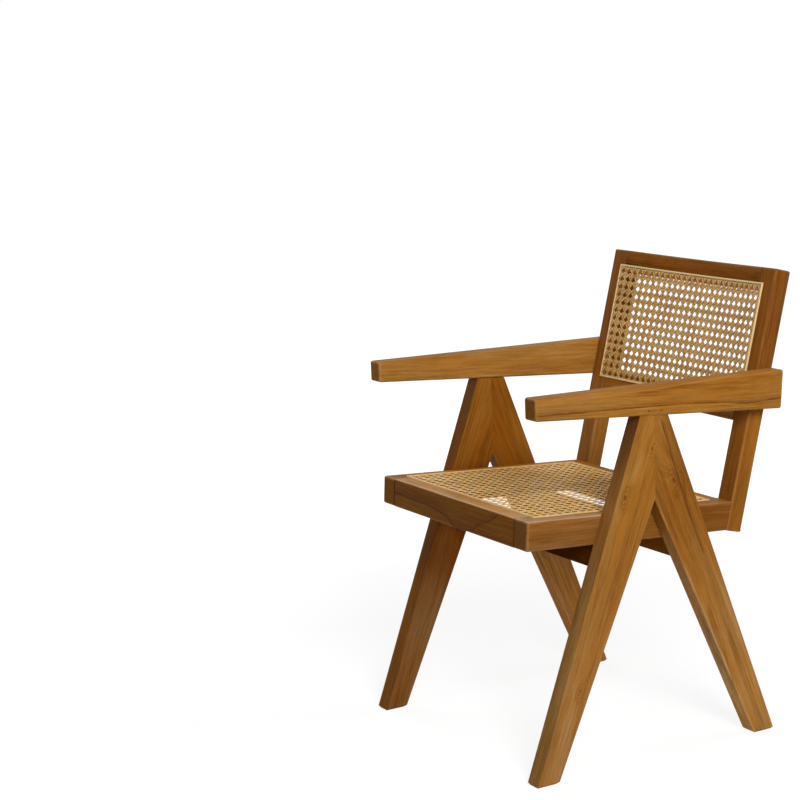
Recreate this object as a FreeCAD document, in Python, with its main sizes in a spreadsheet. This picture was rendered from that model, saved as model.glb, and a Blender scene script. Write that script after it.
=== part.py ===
"""Cane armchair: two V-shaped leg frames that carry the arms, with a seat frame and a leaning back between.

Axes: +X is the sitter's left, the front faces -Y, +Z is up. The origin is on the floor, under the middle.
Three frames share the X axis, each with a direction back and a direction up:
the floor frame, the seat frame (tilted down to the rear) and the back frame (leaning with the posts).
"""
import FreeCAD
import Part
import math
import os
import re

import Sketcher

SIZES = {
    # Seat frame, measured along the tilted seat
    "seat_width": 455,
    "seat_depth": 417.5,
    "seat_height": 435.7,
    "seat_front_y": -273.65,
    "seat_slope": 3.95,
    "seat_rail_height": 49,
    "side_rail_width": 40,
    "cross_rail_width": 42,
    # Leg frames: each V is even about an upright plane at apex_y
    "apex_y": -40.75,
    "leg_thick": 29,
    "foot_outer": 247.5,
    "foot_inner": 204.5,
    "foot_bevel": 4,
    "apex_half": 28.5,
    "crotch_height": 442.5,
    # Arms
    "arm_height": 639,
    "arm_thick": 32,
    "arm_ahead": 233.7,
    "arm_overhang": 22.7,
    "arm_front_depth": 36,
    "arm_back_depth": 66,
    "arm_top_drop": 11,
    "arm_end_rake": 5.3,
    "arm_round": 4,
    # Back
    "post_width": 38.5,
    "post_depth": 32,
    "post_lean": 14.65,
    "post_length": 401,
    "post_heel_round": 6,
    "back_rail_height": 40,
    "back_rail_sag": 12,
    "lower_rail_rise": 135.5,
    # Cross beams under the seat
    "beam_height": 40,
    "beam_thick": 30,
    "beam_spread": 86.5,
    # Cane, the spline that holds its edge in a groove, and the lips of the frame inside that groove
    "seat_side_lip": 9.5,
    "seat_front_lip": 8,
    "seat_rear_lip": 11.5,
    "post_lip": 8,
    "back_rail_lip": 9.5,
    "spline_width": 4,
    "spline_proud": 2.4,
    "spline_kerf": 0.2,
    "groove_depth": 6,
    "cane_thick": 1.6,
    "cane_pitch": 21.8,
    "cane_hole": 14.7,
    # Tenons cut on the pieces, loose tenons between faces that only lie together, and pegs
    "tenon_thick": 12,
    "tenon_long": 20,
    "tenon_wide": 20,
    "tenon_shoulder": 6,
    "leg_tenon_inset": 3,
    "leg_tenon_height": 24,
    "beam_tenon_long": 16,
    "loose_thick": 10,
    "loose_wide": 36,
    "loose_reach": 13,
    "peg_thick": 4,
    "peg_long": 27,
    "peg_rise": 8.5,
    # Clearances
    "fit_play": 0.2,
    "mortise_relief": 1,
}

doc = FreeCAD.newDocument("CaneArmchair")
sheet = doc.addObject("Spreadsheet::Sheet", "Sizes")
for row, (alias, number) in enumerate(SIZES.items(), start=1):
    sheet.set(f"A{row}", str(number))
    sheet.setAlias(f"A{row}", alias)
doc.recompute()

# Frames: where each starts in Y and Z, and how far it tilts back about X
FLOOR = ("0", "0", "0")
SEAT = ("seat_front_y", "seat_height", "seat_slope")
BACK = (
    "seat_front_y + seat_depth * cos(seat_slope)",
    "seat_height - seat_depth * sin(seat_slope)",
    "post_lean",
)

# Widths, from the middle of the chair
HALF_SEAT = "(seat_width / 2)"
LEG_FACE = f"({HALF_SEAT} + leg_thick)"
ARM_FACE = f"({HALF_SEAT} + arm_thick)"
RAIL_INNER = f"({HALF_SEAT} - side_rail_width)"
POST_INNER = f"({HALF_SEAT} - post_width)"
POST_MIDDLE = f"({HALF_SEAT} - post_width / 2)"
LEG_MIDDLE = f"({HALF_SEAT} + leg_thick / 2)"

# Spline rings: inner and outer edges of the side strips, and outer edges along the seat and up the back
SEAT_RING_X = (f"({RAIL_INNER} + seat_side_lip)", f"({RAIL_INNER} + seat_side_lip + spline_width)")
SEAT_RING = (
    "(cross_rail_width - seat_front_lip - spline_width)",
    "(seat_depth - cross_rail_width + seat_rear_lip + spline_width)",
)
BACK_RING_X = (f"({POST_INNER} + post_lip)", f"({POST_INNER} + post_lip + spline_width)")
BACK_RING = (
    "(lower_rail_rise + back_rail_height - back_rail_lip - spline_width)",
    "(post_length - back_rail_height + back_rail_lip + spline_width)",
)

# Arms: the height up the post where they cross it, and the straight underside that drops to the rear
UNDER_FRONT = "(arm_height - arm_front_depth)"
UNDER_BACK = "(arm_height - arm_top_drop - arm_back_depth)"
CROSSING = f"({UNDER_BACK} + arm_back_depth / 2 + post_depth / 2 * sin(post_lean) - ({BACK[1]}))"
ARM_UP_POST = f"({CROSSING} / cos(post_lean))"
ARM_ON_POST = ("post_depth / 2", ARM_UP_POST)
ARM_FRONT_Y = "(apex_y - arm_ahead)"
ARM_BACK_Y = f"({BACK[0]} + {ARM_UP_POST} * sin(post_lean) + post_depth / 2 * cos(post_lean) + arm_overhang)"
UNDER_FALL = f"(({UNDER_FRONT} - {UNDER_BACK}) / ({ARM_BACK_Y} - arm_end_rake - {ARM_FRONT_Y}))"

SIDE_NAMES = {1: "left", -1: "right"}
LOWER_RAIL = "lower_rail_rise"
TOP_RAIL = "(post_length - back_rail_height)"
RAKE = "(post_lean - seat_slope)"


def sized(text):
    """Turn the size names in a formula into references to the sheet."""
    return re.sub(r"[a-z][a-z_]+", lambda word: f"Sizes.{word[0]}" if word[0] in SIZES else word[0], text)


def value(text):
    """Work out a formula of sizes as a plain number."""
    result = sheet.evalExpression(sized(text))
    return float(getattr(result, "Value", result))


def under_arm(y):
    """Height of the arm's underside at y."""
    return f"({UNDER_FRONT} - {UNDER_FALL} * ({y} - {ARM_FRONT_Y}))"


def placed(x, y, z, axis, angle):
    """Formula of a placement: a place, and a turn about one axis."""
    turn = f"create(<<rotation>>; create(<<vector>>; {axis}); {angle})"
    return sized(f"create(<<placement>>; create(<<vector>>; {x}; {y}; {z}); {turn})")


def start_sketch(body, name, plane_role, offset):
    sketch = body.newObject("Sketcher::SketchObject", name)
    plane = next(item for item in body.Origin.OriginFeatures if item.Role == plane_role)
    sketch.AttachmentSupport = [(plane, "")]
    sketch.MapMode = "FlatFace"
    sketch.setExpression("AttachmentOffset", offset)
    return sketch


def side_sketch(body, name, frame, x):
    """Sketch seen from the side, in (back, up) of the frame; it is extruded along +X from x."""
    y, z, tilt = frame
    return start_sketch(body, name, "YZ_Plane", placed(y, z, x, "0; 0; 1", f"-({tilt})"))


def plan_sketch(body, name, frame, level):
    """Sketch seen from above, in (x, back) of the frame; it is extruded up from the level."""
    y, z, tilt = frame
    raised_y = f"{y} + ({level}) * sin({tilt})"
    raised_z = f"{z} + ({level}) * cos({tilt})"
    return start_sketch(body, name, "XY_Plane", placed("0", raised_y, raised_z, "1; 0; 0", f"-({tilt})"))


def face_sketch(body, name, frame, depth):
    """Sketch seen from the front, in (x, up) of the frame; it is extruded forward from the depth."""
    y, z, tilt = frame
    deep_y = f"{y} + ({depth}) * cos({tilt})"
    deep_z = f"{z} - ({depth}) * sin({tilt})"
    return start_sketch(body, name, "XY_Plane", placed("0", deep_y, deep_z, "1; 0; 0", f"90 - ({tilt})"))


def pin_point(sketch, geometry, point, place):
    """Tie one point of a sketch to two formulas, its distances from the sketch's origin."""
    for kind, text in zip(("DistanceX", "DistanceY"), place):
        index = sketch.addConstraint(Sketcher.Constraint(kind, -1, 1, geometry, point, value(text)))
        sketch.setExpression(f"Constraints[{index}]", sized(text))


def draw_polygon(sketch, corners):
    first = sketch.GeometryCount
    places = [FreeCAD.Vector(value(across), value(along), 0) for across, along in corners]
    for index, place in enumerate(places):
        sketch.addGeometry(Part.LineSegment(place, places[(index + 1) % len(places)]))
    for index, corner in enumerate(corners):
        following = first + (index + 1) % len(corners)
        sketch.addConstraint(Sketcher.Constraint("Coincident", first + index, 2, following, 1))
        pin_point(sketch, first + index, 1, corner)


def draw_box(sketch, across, along):
    left, right = across
    low, high = along
    draw_polygon(sketch, [(left, low), (right, low), (right, high), (left, high)])


def draw_circle(sketch, centre, thick):
    place = FreeCAD.Vector(value(centre[0]), value(centre[1]), 0)
    index = sketch.addGeometry(Part.Circle(place, FreeCAD.Vector(0, 0, 1), value(thick) / 2))
    pin_point(sketch, index, 3, centre)
    diameter = sketch.addConstraint(Sketcher.Constraint("Diameter", index, value(thick)))
    sketch.setExpression(f"Constraints[{diameter}]", sized(thick))


def draw_bow(sketch, half, front, back):
    """A band between two equal arcs that bow back by the rails' sag, with straight ends at -half and half."""
    radius = f"(({half}) ^ 2 + back_rail_sag ^ 2) / (2 * back_rail_sag)"
    ends = []
    for depth in (front, back):
        left = FreeCAD.Vector(-value(half), value(depth), 0)
        middle = FreeCAD.Vector(0, value(depth) + value("back_rail_sag"), 0)
        right = FreeCAD.Vector(value(half), value(depth), 0)
        index = sketch.addGeometry(Part.ArcOfCircle(left, middle, right))
        start_is_left = sketch.getPoint(index, 1).x < 0
        at_left, at_right = (1, 2) if start_is_left else (2, 1)
        pin_point(sketch, index, at_left, (f"-({half})", depth))
        pin_point(sketch, index, at_right, (half, depth))
        bend = sketch.addConstraint(Sketcher.Constraint("Radius", index, value(radius)))
        sketch.setExpression(f"Constraints[{bend}]", sized(radius))
        ends.append((index, at_left, left, at_right, right))
    (near, near_left, left, near_right, right), (far, far_left, deep_left, far_right, deep_right) = ends
    for near_point, near_place, far_point, far_place in (
        (near_left, left, far_left, deep_left),
        (near_right, right, far_right, deep_right),
    ):
        line = sketch.addGeometry(Part.LineSegment(near_place, far_place))
        sketch.addConstraint(Sketcher.Constraint("Coincident", line, 1, near, near_point))
        sketch.addConstraint(Sketcher.Constraint("Coincident", line, 2, far, far_point))


def add(body, sketch, length):
    """Pad a sketch along its normal."""
    pad = body.newObject("PartDesign::Pad", f"{sketch.Name}_pad")
    pad.Profile = sketch
    pad.setExpression("Length", sized(length))
    doc.recompute()
    return pad


def cut(body, sketch, length):
    """Pocket a sketch along its normal, and make sure that it takes wood away."""
    before = body.Shape.Volume
    pocket = body.newObject("PartDesign::Pocket", f"{sketch.Name}_pocket")
    pocket.Profile = sketch
    pocket.Reversed = True
    pocket.setExpression("Length", sized(length))
    doc.recompute()
    if body.Shape.Volume >= before:
        raise RuntimeError(f"{sketch.Name} cuts nothing from {body.Label}")


def new_piece(label):
    body = doc.addObject("PartDesign::Body", label)
    body.Label = label
    return body


def span(side, near, far):
    """A stretch of X from near to far on the left side, or mirrored to the right."""
    return (near, far) if side > 0 else (f"-({far})", f"-({near})")


def run(side, near, far):
    """Where such a stretch starts along +X."""
    return span(side, near, far)[0]


def grown(low, high):
    """A span with clearance at both ends."""
    return (f"({low}) - fit_play", f"({high}) + fit_play")


def signed(sign, text):
    return f"({text})" if sign > 0 else f"-({text})"


# Places that two pieces share


def leg_tenon(sign, play="0", relief="0"):
    """Outline of the stub on a leg's top, from the floor frame's side view."""
    near = f"apex_y + {signed(sign, f'leg_tenon_inset - {play}')}"
    far = f"apex_y + {signed(sign, f'apex_half - tenon_shoulder + {play}')}"
    top_near = f"{under_arm(near)} + leg_tenon_height + {relief}"
    top_far = f"{under_arm(far)} + leg_tenon_height + {relief}"
    return [(near, under_arm(near)), (far, under_arm(far)), (far, top_far), (near, top_near)]


def leg_tenon_run(sign, play="0"):
    near = f"{LEG_MIDDLE} - tenon_thick / 2 - {play}"
    far = f"{LEG_MIDDLE} + tenon_thick / 2 + {play}"
    return run(sign, near, far)


def peg_place(sign):
    y = f"(apex_y + {signed(sign, '(leg_tenon_inset + apex_half - tenon_shoulder) / 2')})"
    return (y, f"{under_arm(y)} + peg_rise")


def seat_along(y, low):
    """Distance along the seat frame of a point at y, low below the seat's top."""
    return f"(({y} - seat_front_y + {low} * sin(seat_slope)) / cos(seat_slope))"


def beam_middle(sign):
    """Middle of a cross beam in the seat frame, hung under the rails."""
    low = "(seat_rail_height + beam_height / 2)"
    return seat_along(f"apex_y + {signed(sign, 'beam_spread')}", low), f"-{low}"


def beam_tenon(sign, play="0"):
    back, up = beam_middle(sign)
    across = (f"{back} - tenon_wide / 2 - {play}", f"{back} + tenon_wide / 2 + {play}")
    high = f"(beam_height / 2 - tenon_shoulder + {play})"
    return across, (f"{up} - {high}", f"{up} + {high}")


def loose_tenon(middle, flat, play="0"):
    """Outline of a loose tenon about its middle: flat along the frame's first direction, or upright."""
    half_wide = f"loose_wide / 2 + {play}"
    half_thick = f"loose_thick / 2 + {play}"
    halves = (half_wide, half_thick) if flat else (half_thick, half_wide)
    return [(f"{centre} - ({half})", f"{centre} + ({half})") for centre, half in zip(middle, halves)]


def leg_on_rail(sign):
    """Where the middle of a leg crosses the middle of the side rail, in the seat frame."""
    height = "(seat_height - (apex_y - seat_front_y) * tan(seat_slope) - seat_rail_height / 2)"
    outer = f"(foot_outer + (apex_half - foot_outer) * {height} / {under_arm('apex_y')})"
    inner = f"max(0; foot_inner * (1 - {height} / crotch_height))"
    middle = f"(apex_y + {signed(sign, f'({outer} + {inner}) / 2')})"
    return seat_along(middle, "(seat_rail_height / 2)"), "-seat_rail_height / 2"


def cross_tenon(sign, play="0"):
    """Tenon of the front rail or the rear rail, below the spline groove."""
    middle = "cross_rail_width / 2" if sign < 0 else "(seat_depth - cross_rail_width / 2)"
    across = (f"{middle} - tenon_wide / 2 - {play}", f"{middle} + tenon_wide / 2 + {play}")
    low = f"-(seat_rail_height + groove_depth + tenon_thick) / 2 - {play}"
    return across, (low, f"-(seat_rail_height + groove_depth - tenon_thick) / 2 + {play}")


def post_tenon(deep, play="0"):
    """Side rail's tenon, in the back frame, from the post's front face."""
    up = (f"tenon_shoulder - seat_rail_height - {play}", f"-tenon_shoulder - groove_depth + {play}")
    return ("0", deep), up


def back_tenon(level, play="0"):
    """Tenon of a back rail, in the back frame."""
    across = (f"(post_depth - tenon_thick) / 2 - {play}", f"(post_depth + tenon_thick) / 2 + {play}")
    top = f"{level} + back_rail_height - tenon_shoulder + {play}"
    return across, (f"{level} + tenon_shoulder - {play}", top)


def mitre_tenon(sign, play="0", relief="0"):
    """Half of the loose tenon across the mitre, on the side of one leg."""
    middle = f"((crotch_height + {under_arm('apex_y')}) / 2)"
    end = f"apex_y + {signed(sign, f'loose_reach + {relief}')}"
    up = (f"{middle} - loose_wide / 2 - {play}", f"{middle} + loose_wide / 2 + {play}")
    return ("apex_y", end), up


def groove_span(edge, inward):
    """Groove for one strip: from the ring's outer edge, one spline width inward."""
    inner = f"{edge} {inward} spline_width"
    return grown(edge, inner) if inward == "+" else grown(inner, edge)


# Leg frames


def make_leg(label, side, sign):
    """One leg of a V; sign is -1 for the front leg and 1 for the rear leg."""
    leg = new_piece(label)
    foot_outer = f"apex_y + {signed(sign, 'foot_outer')}"
    foot_inner = f"apex_y + {signed(sign, 'foot_inner')}"
    shoulder = f"apex_y + {signed(sign, 'apex_half')}"
    profile = side_sketch(leg, f"{label}_profile", FLOOR, run(side, HALF_SEAT, LEG_FACE))
    draw_polygon(profile, [
        (foot_outer, "0"),
        (foot_inner, "0"),
        ("apex_y", "crotch_height"),
        ("apex_y", under_arm("apex_y")),
        (shoulder, under_arm(shoulder)),
    ])
    blank = add(leg, profile, "leg_thick")
    bevel = leg.newObject("PartDesign::Chamfer", f"{label}_foot_bevel")
    bevel.Base = (blank, floor_edges(blank.Shape))
    bevel.setExpression("Size", sized("foot_bevel"))
    doc.recompute()

    stub = side_sketch(leg, f"{label}_stub", FLOOR, leg_tenon_run(side))
    draw_polygon(stub, leg_tenon(sign))
    add(leg, stub, "tenon_thick")

    peg_hole = side_sketch(leg, f"{label}_peg_hole", FLOOR, run(side, HALF_SEAT, LEG_FACE))
    draw_circle(peg_hole, peg_place(sign), "peg_thick + 2 * fit_play")
    cut(leg, peg_hole, "leg_thick")

    mortise_far = f"{HALF_SEAT} + beam_tenon_long + mortise_relief"
    mortise = side_sketch(leg, f"{label}_beam_mortise", SEAT, run(side, HALF_SEAT, mortise_far))
    draw_box(mortise, *beam_tenon(sign, "fit_play"))
    cut(leg, mortise, "beam_tenon_long + mortise_relief")

    mitre_near = f"{LEG_MIDDLE} - loose_thick / 2 - fit_play"
    mitre_far = f"{LEG_MIDDLE} + loose_thick / 2 + fit_play"
    mitre = side_sketch(leg, f"{label}_mitre_mortise", FLOOR, run(side, mitre_near, mitre_far))
    draw_box(mitre, *mitre_tenon(sign, "fit_play", "mortise_relief"))
    cut(leg, mitre, "loose_thick + 2 * fit_play")

    rail_far = f"{HALF_SEAT} + loose_reach + mortise_relief"
    rail_mortise = side_sketch(leg, f"{label}_rail_mortise", SEAT, run(side, HALF_SEAT, rail_far))
    draw_box(rail_mortise, *loose_tenon(leg_on_rail(sign), True, "fit_play"))
    cut(leg, rail_mortise, "loose_reach + mortise_relief")


def floor_edges(shape):
    """Names of the edges that lie on the floor."""
    flat = 1e-6
    return [
        f"Edge{index}"
        for index, edge in enumerate(shape.Edges, start=1)
        if all(abs(vertex.Z) < flat for vertex in edge.Vertexes)
    ]


def make_arm(label, side):
    """Straight arm, shallow in front and deep behind, with its long edges rounded."""
    arm = new_piece(label)
    profile = side_sketch(arm, f"{label}_profile", FLOOR, run(side, HALF_SEAT, ARM_FACE))
    draw_polygon(profile, [
        (ARM_FRONT_Y, UNDER_FRONT),
        (f"{ARM_BACK_Y} - arm_end_rake", UNDER_BACK),
        (ARM_BACK_Y, "arm_height - arm_top_drop"),
        (ARM_FRONT_Y, "arm_height"),
    ])
    blank = add(arm, profile, "arm_thick")
    rounding = arm.newObject("PartDesign::Fillet", f"{label}_rounding")
    rounding.Base = (blank, long_edges(blank.Shape, value(f"{ARM_BACK_Y} - {ARM_FRONT_Y}") / 2))
    rounding.setExpression("Radius", sized("arm_round"))
    doc.recompute()

    mortises = side_sketch(arm, f"{label}_mortises", FLOOR, leg_tenon_run(side, "fit_play"))
    for sign in (-1, 1):
        draw_polygon(mortises, leg_tenon(sign, "fit_play", "mortise_relief"))
    cut(arm, mortises, "tenon_thick + 2 * fit_play")

    peg_near = f"{ARM_FACE} - peg_long - mortise_relief"
    peg_holes = side_sketch(arm, f"{label}_peg_holes", FLOOR, run(side, peg_near, ARM_FACE))
    for sign in (-1, 1):
        draw_circle(peg_holes, peg_place(sign), "peg_thick + 2 * fit_play")
    cut(arm, peg_holes, "peg_long + mortise_relief")

    post_far = f"{HALF_SEAT} + loose_reach + mortise_relief"
    post_mortise = side_sketch(arm, f"{label}_post_mortise", BACK, run(side, HALF_SEAT, post_far))
    draw_box(post_mortise, *loose_tenon(ARM_ON_POST, False, "fit_play"))
    cut(arm, post_mortise, "loose_reach + mortise_relief")


def long_edges(shape, least):
    """Names of the edges longer than the least length."""
    return [f"Edge{index}" for index, edge in enumerate(shape.Edges, start=1) if edge.Length > least]


def make_beam(label, sign):
    """Cross beam hung under the side rails, tenoned into both leg frames."""
    beam = new_piece(label)
    back, up = beam_middle(sign)
    profile = side_sketch(beam, f"{label}_profile", SEAT, f"-{HALF_SEAT}")
    across = (f"{back} - beam_thick / 2", f"{back} + beam_thick / 2")
    draw_box(profile, across, (f"{up} - beam_height / 2", f"{up} + beam_height / 2"))
    add(beam, profile, "seat_width")
    tenon = side_sketch(beam, f"{label}_tenon", SEAT, f"-({HALF_SEAT} + beam_tenon_long)")
    draw_box(tenon, *beam_tenon(sign))
    add(beam, tenon, "seat_width + 2 * beam_tenon_long")


# Seat frame


def make_side_rail(label, side):
    """Side rail of the seat: open at the front as end grain, raked at the rear to meet the post."""
    rail = new_piece(label)
    profile = side_sketch(rail, f"{label}_profile", SEAT, run(side, RAIL_INNER, HALF_SEAT))
    draw_polygon(profile, [
        ("0", "-seat_rail_height"),
        (f"seat_depth - seat_rail_height * tan{RAKE}", "-seat_rail_height"),
        ("seat_depth", "0"),
        ("0", "0"),
    ])
    add(rail, profile, "side_rail_width")

    tenon_near = f"{POST_MIDDLE} - tenon_thick / 2"
    tenon_far = f"{POST_MIDDLE} + tenon_thick / 2"
    tenon = side_sketch(rail, f"{label}_tenon", BACK, run(side, tenon_near, tenon_far))
    draw_box(tenon, *post_tenon("tenon_long"))
    add(rail, tenon, "tenon_thick")

    groove_start = run(side, *grown(*SEAT_RING_X))
    long_groove = side_sketch(rail, f"{label}_long_groove", SEAT, groove_start)
    draw_box(long_groove, grown(*SEAT_RING), ("-groove_depth", "groove_depth"))
    cut(rail, long_groove, "spline_width + 2 * fit_play")

    end_grooves = side_sketch(rail, f"{label}_end_grooves", SEAT, run(side, RAIL_INNER, SEAT_RING_X[0]))
    draw_seat_grooves(end_grooves)
    cut(rail, end_grooves, "seat_side_lip")

    mortise_far = f"{RAIL_INNER} + tenon_long + mortise_relief"
    mortises = side_sketch(rail, f"{label}_mortises", SEAT, run(side, RAIL_INNER, mortise_far))
    for sign in (-1, 1):
        draw_box(mortises, *cross_tenon(sign, "fit_play"))
    cut(rail, mortises, "tenon_long + mortise_relief")

    leg_near = f"{HALF_SEAT} - loose_reach - mortise_relief"
    leg_mortises = side_sketch(rail, f"{label}_leg_mortises", SEAT, run(side, leg_near, HALF_SEAT))
    for sign in (-1, 1):
        draw_box(leg_mortises, *loose_tenon(leg_on_rail(sign), True, "fit_play"))
    cut(rail, leg_mortises, "loose_reach + mortise_relief")


def draw_seat_grooves(sketch, signs=(-1, 1)):
    """Cross-sections of the seat's front and rear spline grooves."""
    spans = {-1: groove_span(SEAT_RING[0], "+"), 1: groove_span(SEAT_RING[1], "-")}
    for sign in signs:
        draw_box(sketch, spans[sign], ("-groove_depth", "groove_depth"))


def make_cross_rail(label, sign):
    """Front or rear rail of the seat, between the side rails; the rear one follows the posts' rake."""
    rail = new_piece(label)
    near = "0" if sign < 0 else "seat_depth - cross_rail_width"
    far = "cross_rail_width" if sign < 0 else "seat_depth"
    far_low = far if sign < 0 else f"seat_depth - seat_rail_height * tan{RAKE}"
    profile = side_sketch(rail, f"{label}_profile", SEAT, f"-{RAIL_INNER}")
    draw_polygon(profile, [
        (near, "-seat_rail_height"),
        (far_low, "-seat_rail_height"),
        (far, "0"),
        (near, "0"),
    ])
    add(rail, profile, f"2 * {RAIL_INNER}")
    tenon = side_sketch(rail, f"{label}_tenon", SEAT, f"-({RAIL_INNER} + tenon_long)")
    draw_box(tenon, *cross_tenon(sign))
    add(rail, tenon, f"2 * ({RAIL_INNER} + tenon_long)")
    groove = side_sketch(rail, f"{label}_groove", SEAT, f"-{RAIL_INNER}")
    draw_seat_grooves(groove, (sign,))
    cut(rail, groove, f"2 * {RAIL_INNER}")


# Back frame


def make_post(label, side):
    """Leaning post, its outer face flush with the seat frame."""
    post = new_piece(label)
    profile = side_sketch(post, f"{label}_profile", BACK, run(side, POST_INNER, HALF_SEAT))
    draw_box(profile, ("0", "post_depth"), (f"-seat_rail_height / cos{RAKE}", "post_length"))
    blank = add(post, profile, "post_width")
    heel = min(range(len(blank.Shape.Edges)), key=lambda index: blank.Shape.Edges[index].CenterOfMass.z)
    rounding = post.newObject("PartDesign::Fillet", f"{label}_heel_round")
    rounding.Base = (blank, [f"Edge{heel + 1}"])
    rounding.setExpression("Radius", sized("post_heel_round"))
    doc.recompute()

    rail_near = f"{POST_MIDDLE} - tenon_thick / 2 - fit_play"
    rail_far = f"{POST_MIDDLE} + tenon_thick / 2 + fit_play"
    rail_mortise = side_sketch(post, f"{label}_rail_mortise", BACK, run(side, rail_near, rail_far))
    draw_box(rail_mortise, *post_tenon("tenon_long + mortise_relief", "fit_play"))
    cut(post, rail_mortise, "tenon_thick + 2 * fit_play")

    back_far = f"{POST_INNER} + tenon_long + mortise_relief"
    back_mortises = side_sketch(post, f"{label}_back_mortises", BACK, run(side, POST_INNER, back_far))
    for level in (LOWER_RAIL, TOP_RAIL):
        draw_box(back_mortises, *back_tenon(level, "fit_play"))
    cut(post, back_mortises, "tenon_long + mortise_relief")

    groove_start = run(side, *grown(*BACK_RING_X))
    long_groove = side_sketch(post, f"{label}_long_groove", BACK, groove_start)
    draw_box(long_groove, ("-groove_depth", "groove_depth"), grown(*BACK_RING))
    cut(post, long_groove, "spline_width + 2 * fit_play")

    end_grooves = side_sketch(post, f"{label}_end_grooves", BACK, run(side, POST_INNER, BACK_RING_X[0]))
    for edge, inward in zip(BACK_RING, "+-"):
        draw_box(end_grooves, ("-groove_depth", "groove_depth"), groove_span(edge, inward))
    cut(post, end_grooves, "post_lip")

    arm_near = f"{HALF_SEAT} - loose_reach - mortise_relief"
    arm_mortise = side_sketch(post, f"{label}_arm_mortise", BACK, run(side, arm_near, HALF_SEAT))
    draw_box(arm_mortise, *loose_tenon(ARM_ON_POST, False, "fit_play"))
    cut(post, arm_mortise, "loose_reach + mortise_relief")


def make_back_rail(label, level, groove):
    """Rail of the back, bowed backwards between the posts, grooved along its front for the spline."""
    rail = new_piece(label)
    plan = plan_sketch(rail, f"{label}_plan", BACK, level)
    draw_bow(plan, POST_INNER, "0", "post_depth")
    add(rail, plan, "back_rail_height")
    for side in (-1, 1):
        end = run(side, POST_INNER, f"{POST_INNER} + tenon_long")
        tenon = side_sketch(rail, f"{label}_tenon_{SIDE_NAMES[side]}", BACK, end)
        draw_box(tenon, *back_tenon(level))
        add(rail, tenon, "tenon_long")
    low, high = groove
    channel = plan_sketch(rail, f"{label}_groove", BACK, low)
    draw_bow(channel, POST_INNER, "-groove_depth", "groove_depth")
    cut(rail, channel, f"{high} - ({low})")


# Cane and its spline


def draw_kerfs(sketch, half_across, ring):
    """A thin mitre cut across each corner of a spline ring, run on past both edges of the strip."""
    low, high = ring
    middle = f"({low} + {high}) / 2"
    half_up = f"({high} - {low}) / 2"
    outer = "spline_width"
    inner = "-2 * spline_width"
    for side in (-1, 1):
        for sign in (-1, 1):
            corners = []
            for reach, cheek in ((outer, 1), (outer, -1), (inner, -1), (inner, 1)):
                x = f"{half_across} + {reach} + {cheek} * spline_kerf / 2"
                up = f"{half_up} + {reach} - {cheek} * spline_kerf / 2"
                corners.append((signed(side, x), f"{middle} + {signed(sign, up)}"))
            draw_polygon(sketch, corners)


def make_seat_spline(label):
    """Four strips, mitred at the corners, in the groove round the seat."""
    spline = new_piece(label)
    near, far = SEAT_RING
    inner, outer = SEAT_RING_X
    plan = plan_sketch(spline, f"{label}_plan", SEAT, "fit_play - groove_depth")
    draw_box(plan, (f"-{outer}", outer), (near, far))
    draw_box(plan, (f"-{inner}", inner), (f"{near} + spline_width", f"{far} - spline_width"))
    add(spline, plan, "groove_depth + spline_proud - fit_play")
    kerfs = plan_sketch(spline, f"{label}_mitres", SEAT, "-groove_depth")
    draw_kerfs(kerfs, outer, SEAT_RING)
    cut(spline, kerfs, "groove_depth + 2 * spline_proud")


def make_back_spline(label):
    """Four strips round the back, the upper and the lower one bowed with the rails."""
    spline = new_piece(label)
    low, high = BACK_RING
    front = "-spline_proud"
    floor = "groove_depth - fit_play"
    sides = plan_sketch(spline, f"{label}_sides", BACK, low)
    for side in (-1, 1):
        draw_box(sides, span(side, *BACK_RING_X), (front, floor))
    add(spline, sides, f"{high} - {low}")
    for name, level in (("lower", low), ("upper", f"{high} - spline_width")):
        bowed = plan_sketch(spline, f"{label}_{name}", BACK, level)
        draw_bow(bowed, POST_INNER, front, floor)
        add(spline, bowed, "spline_width")
        ends = plan_sketch(spline, f"{label}_{name}_ends", BACK, level)
        for side in (-1, 1):
            draw_box(ends, span(side, POST_INNER, BACK_RING_X[0]), (front, floor))
        add(spline, ends, "spline_width")
    kerfs = face_sketch(spline, f"{label}_mitres", BACK, "groove_depth")
    draw_kerfs(kerfs, BACK_RING_X[1], BACK_RING)
    cut(spline, kerfs, "groove_depth + 2 * spline_proud")


def gap_middles(low, high):
    """Middles of the gaps that fit between two edges of a net, spread evenly about its middle."""
    pitch = value("cane_pitch")
    strand = value("cane_pitch - cane_hole")
    count = int((high - low - strand) / pitch)
    first = (low + high - (count - 1) * pitch) / 2
    return [first + index * pitch for index in range(count)]


def holed_face(across, along, columns, rows, height):
    """A sheet over two spans with rows of eight-sided gaps; height gives each point's depth from its x."""
    flat = value("cane_hole") / 2
    corner = flat * math.tan(math.pi / 8)
    octagon = [
        (flat, corner), (corner, flat), (-corner, flat), (-flat, corner),
        (-flat, -corner), (-corner, -flat), (corner, -flat), (flat, -corner),
    ]
    outlines = [[(across[0], along[0]), (across[1], along[0]), (across[1], along[1]), (across[0], along[1])]]
    for column in columns:
        for row in rows:
            outlines.append([(column + x, row + up) for x, up in octagon])
    wires = []
    for outline in outlines:
        points = [FreeCAD.Vector(x, height(x), up) for x, up in outline]
        wires.append(Part.makePolygon(points + points[:1]))
    return Part.makeFace(wires, "Part::FaceMakerBullseye")


def place_cane(label, frame, shape, tipped_back):
    """Put a net, made upright in (x, depth, up), into the document and turn it into its frame."""
    cane = doc.addObject("Part::Feature", label)
    cane.Label = label
    cane.Shape = shape
    y, z, tilt = frame
    cane.setExpression("Placement", placed("0", y, z, "1; 0; 0", f"-{tipped_back} - ({tilt})"))


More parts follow.
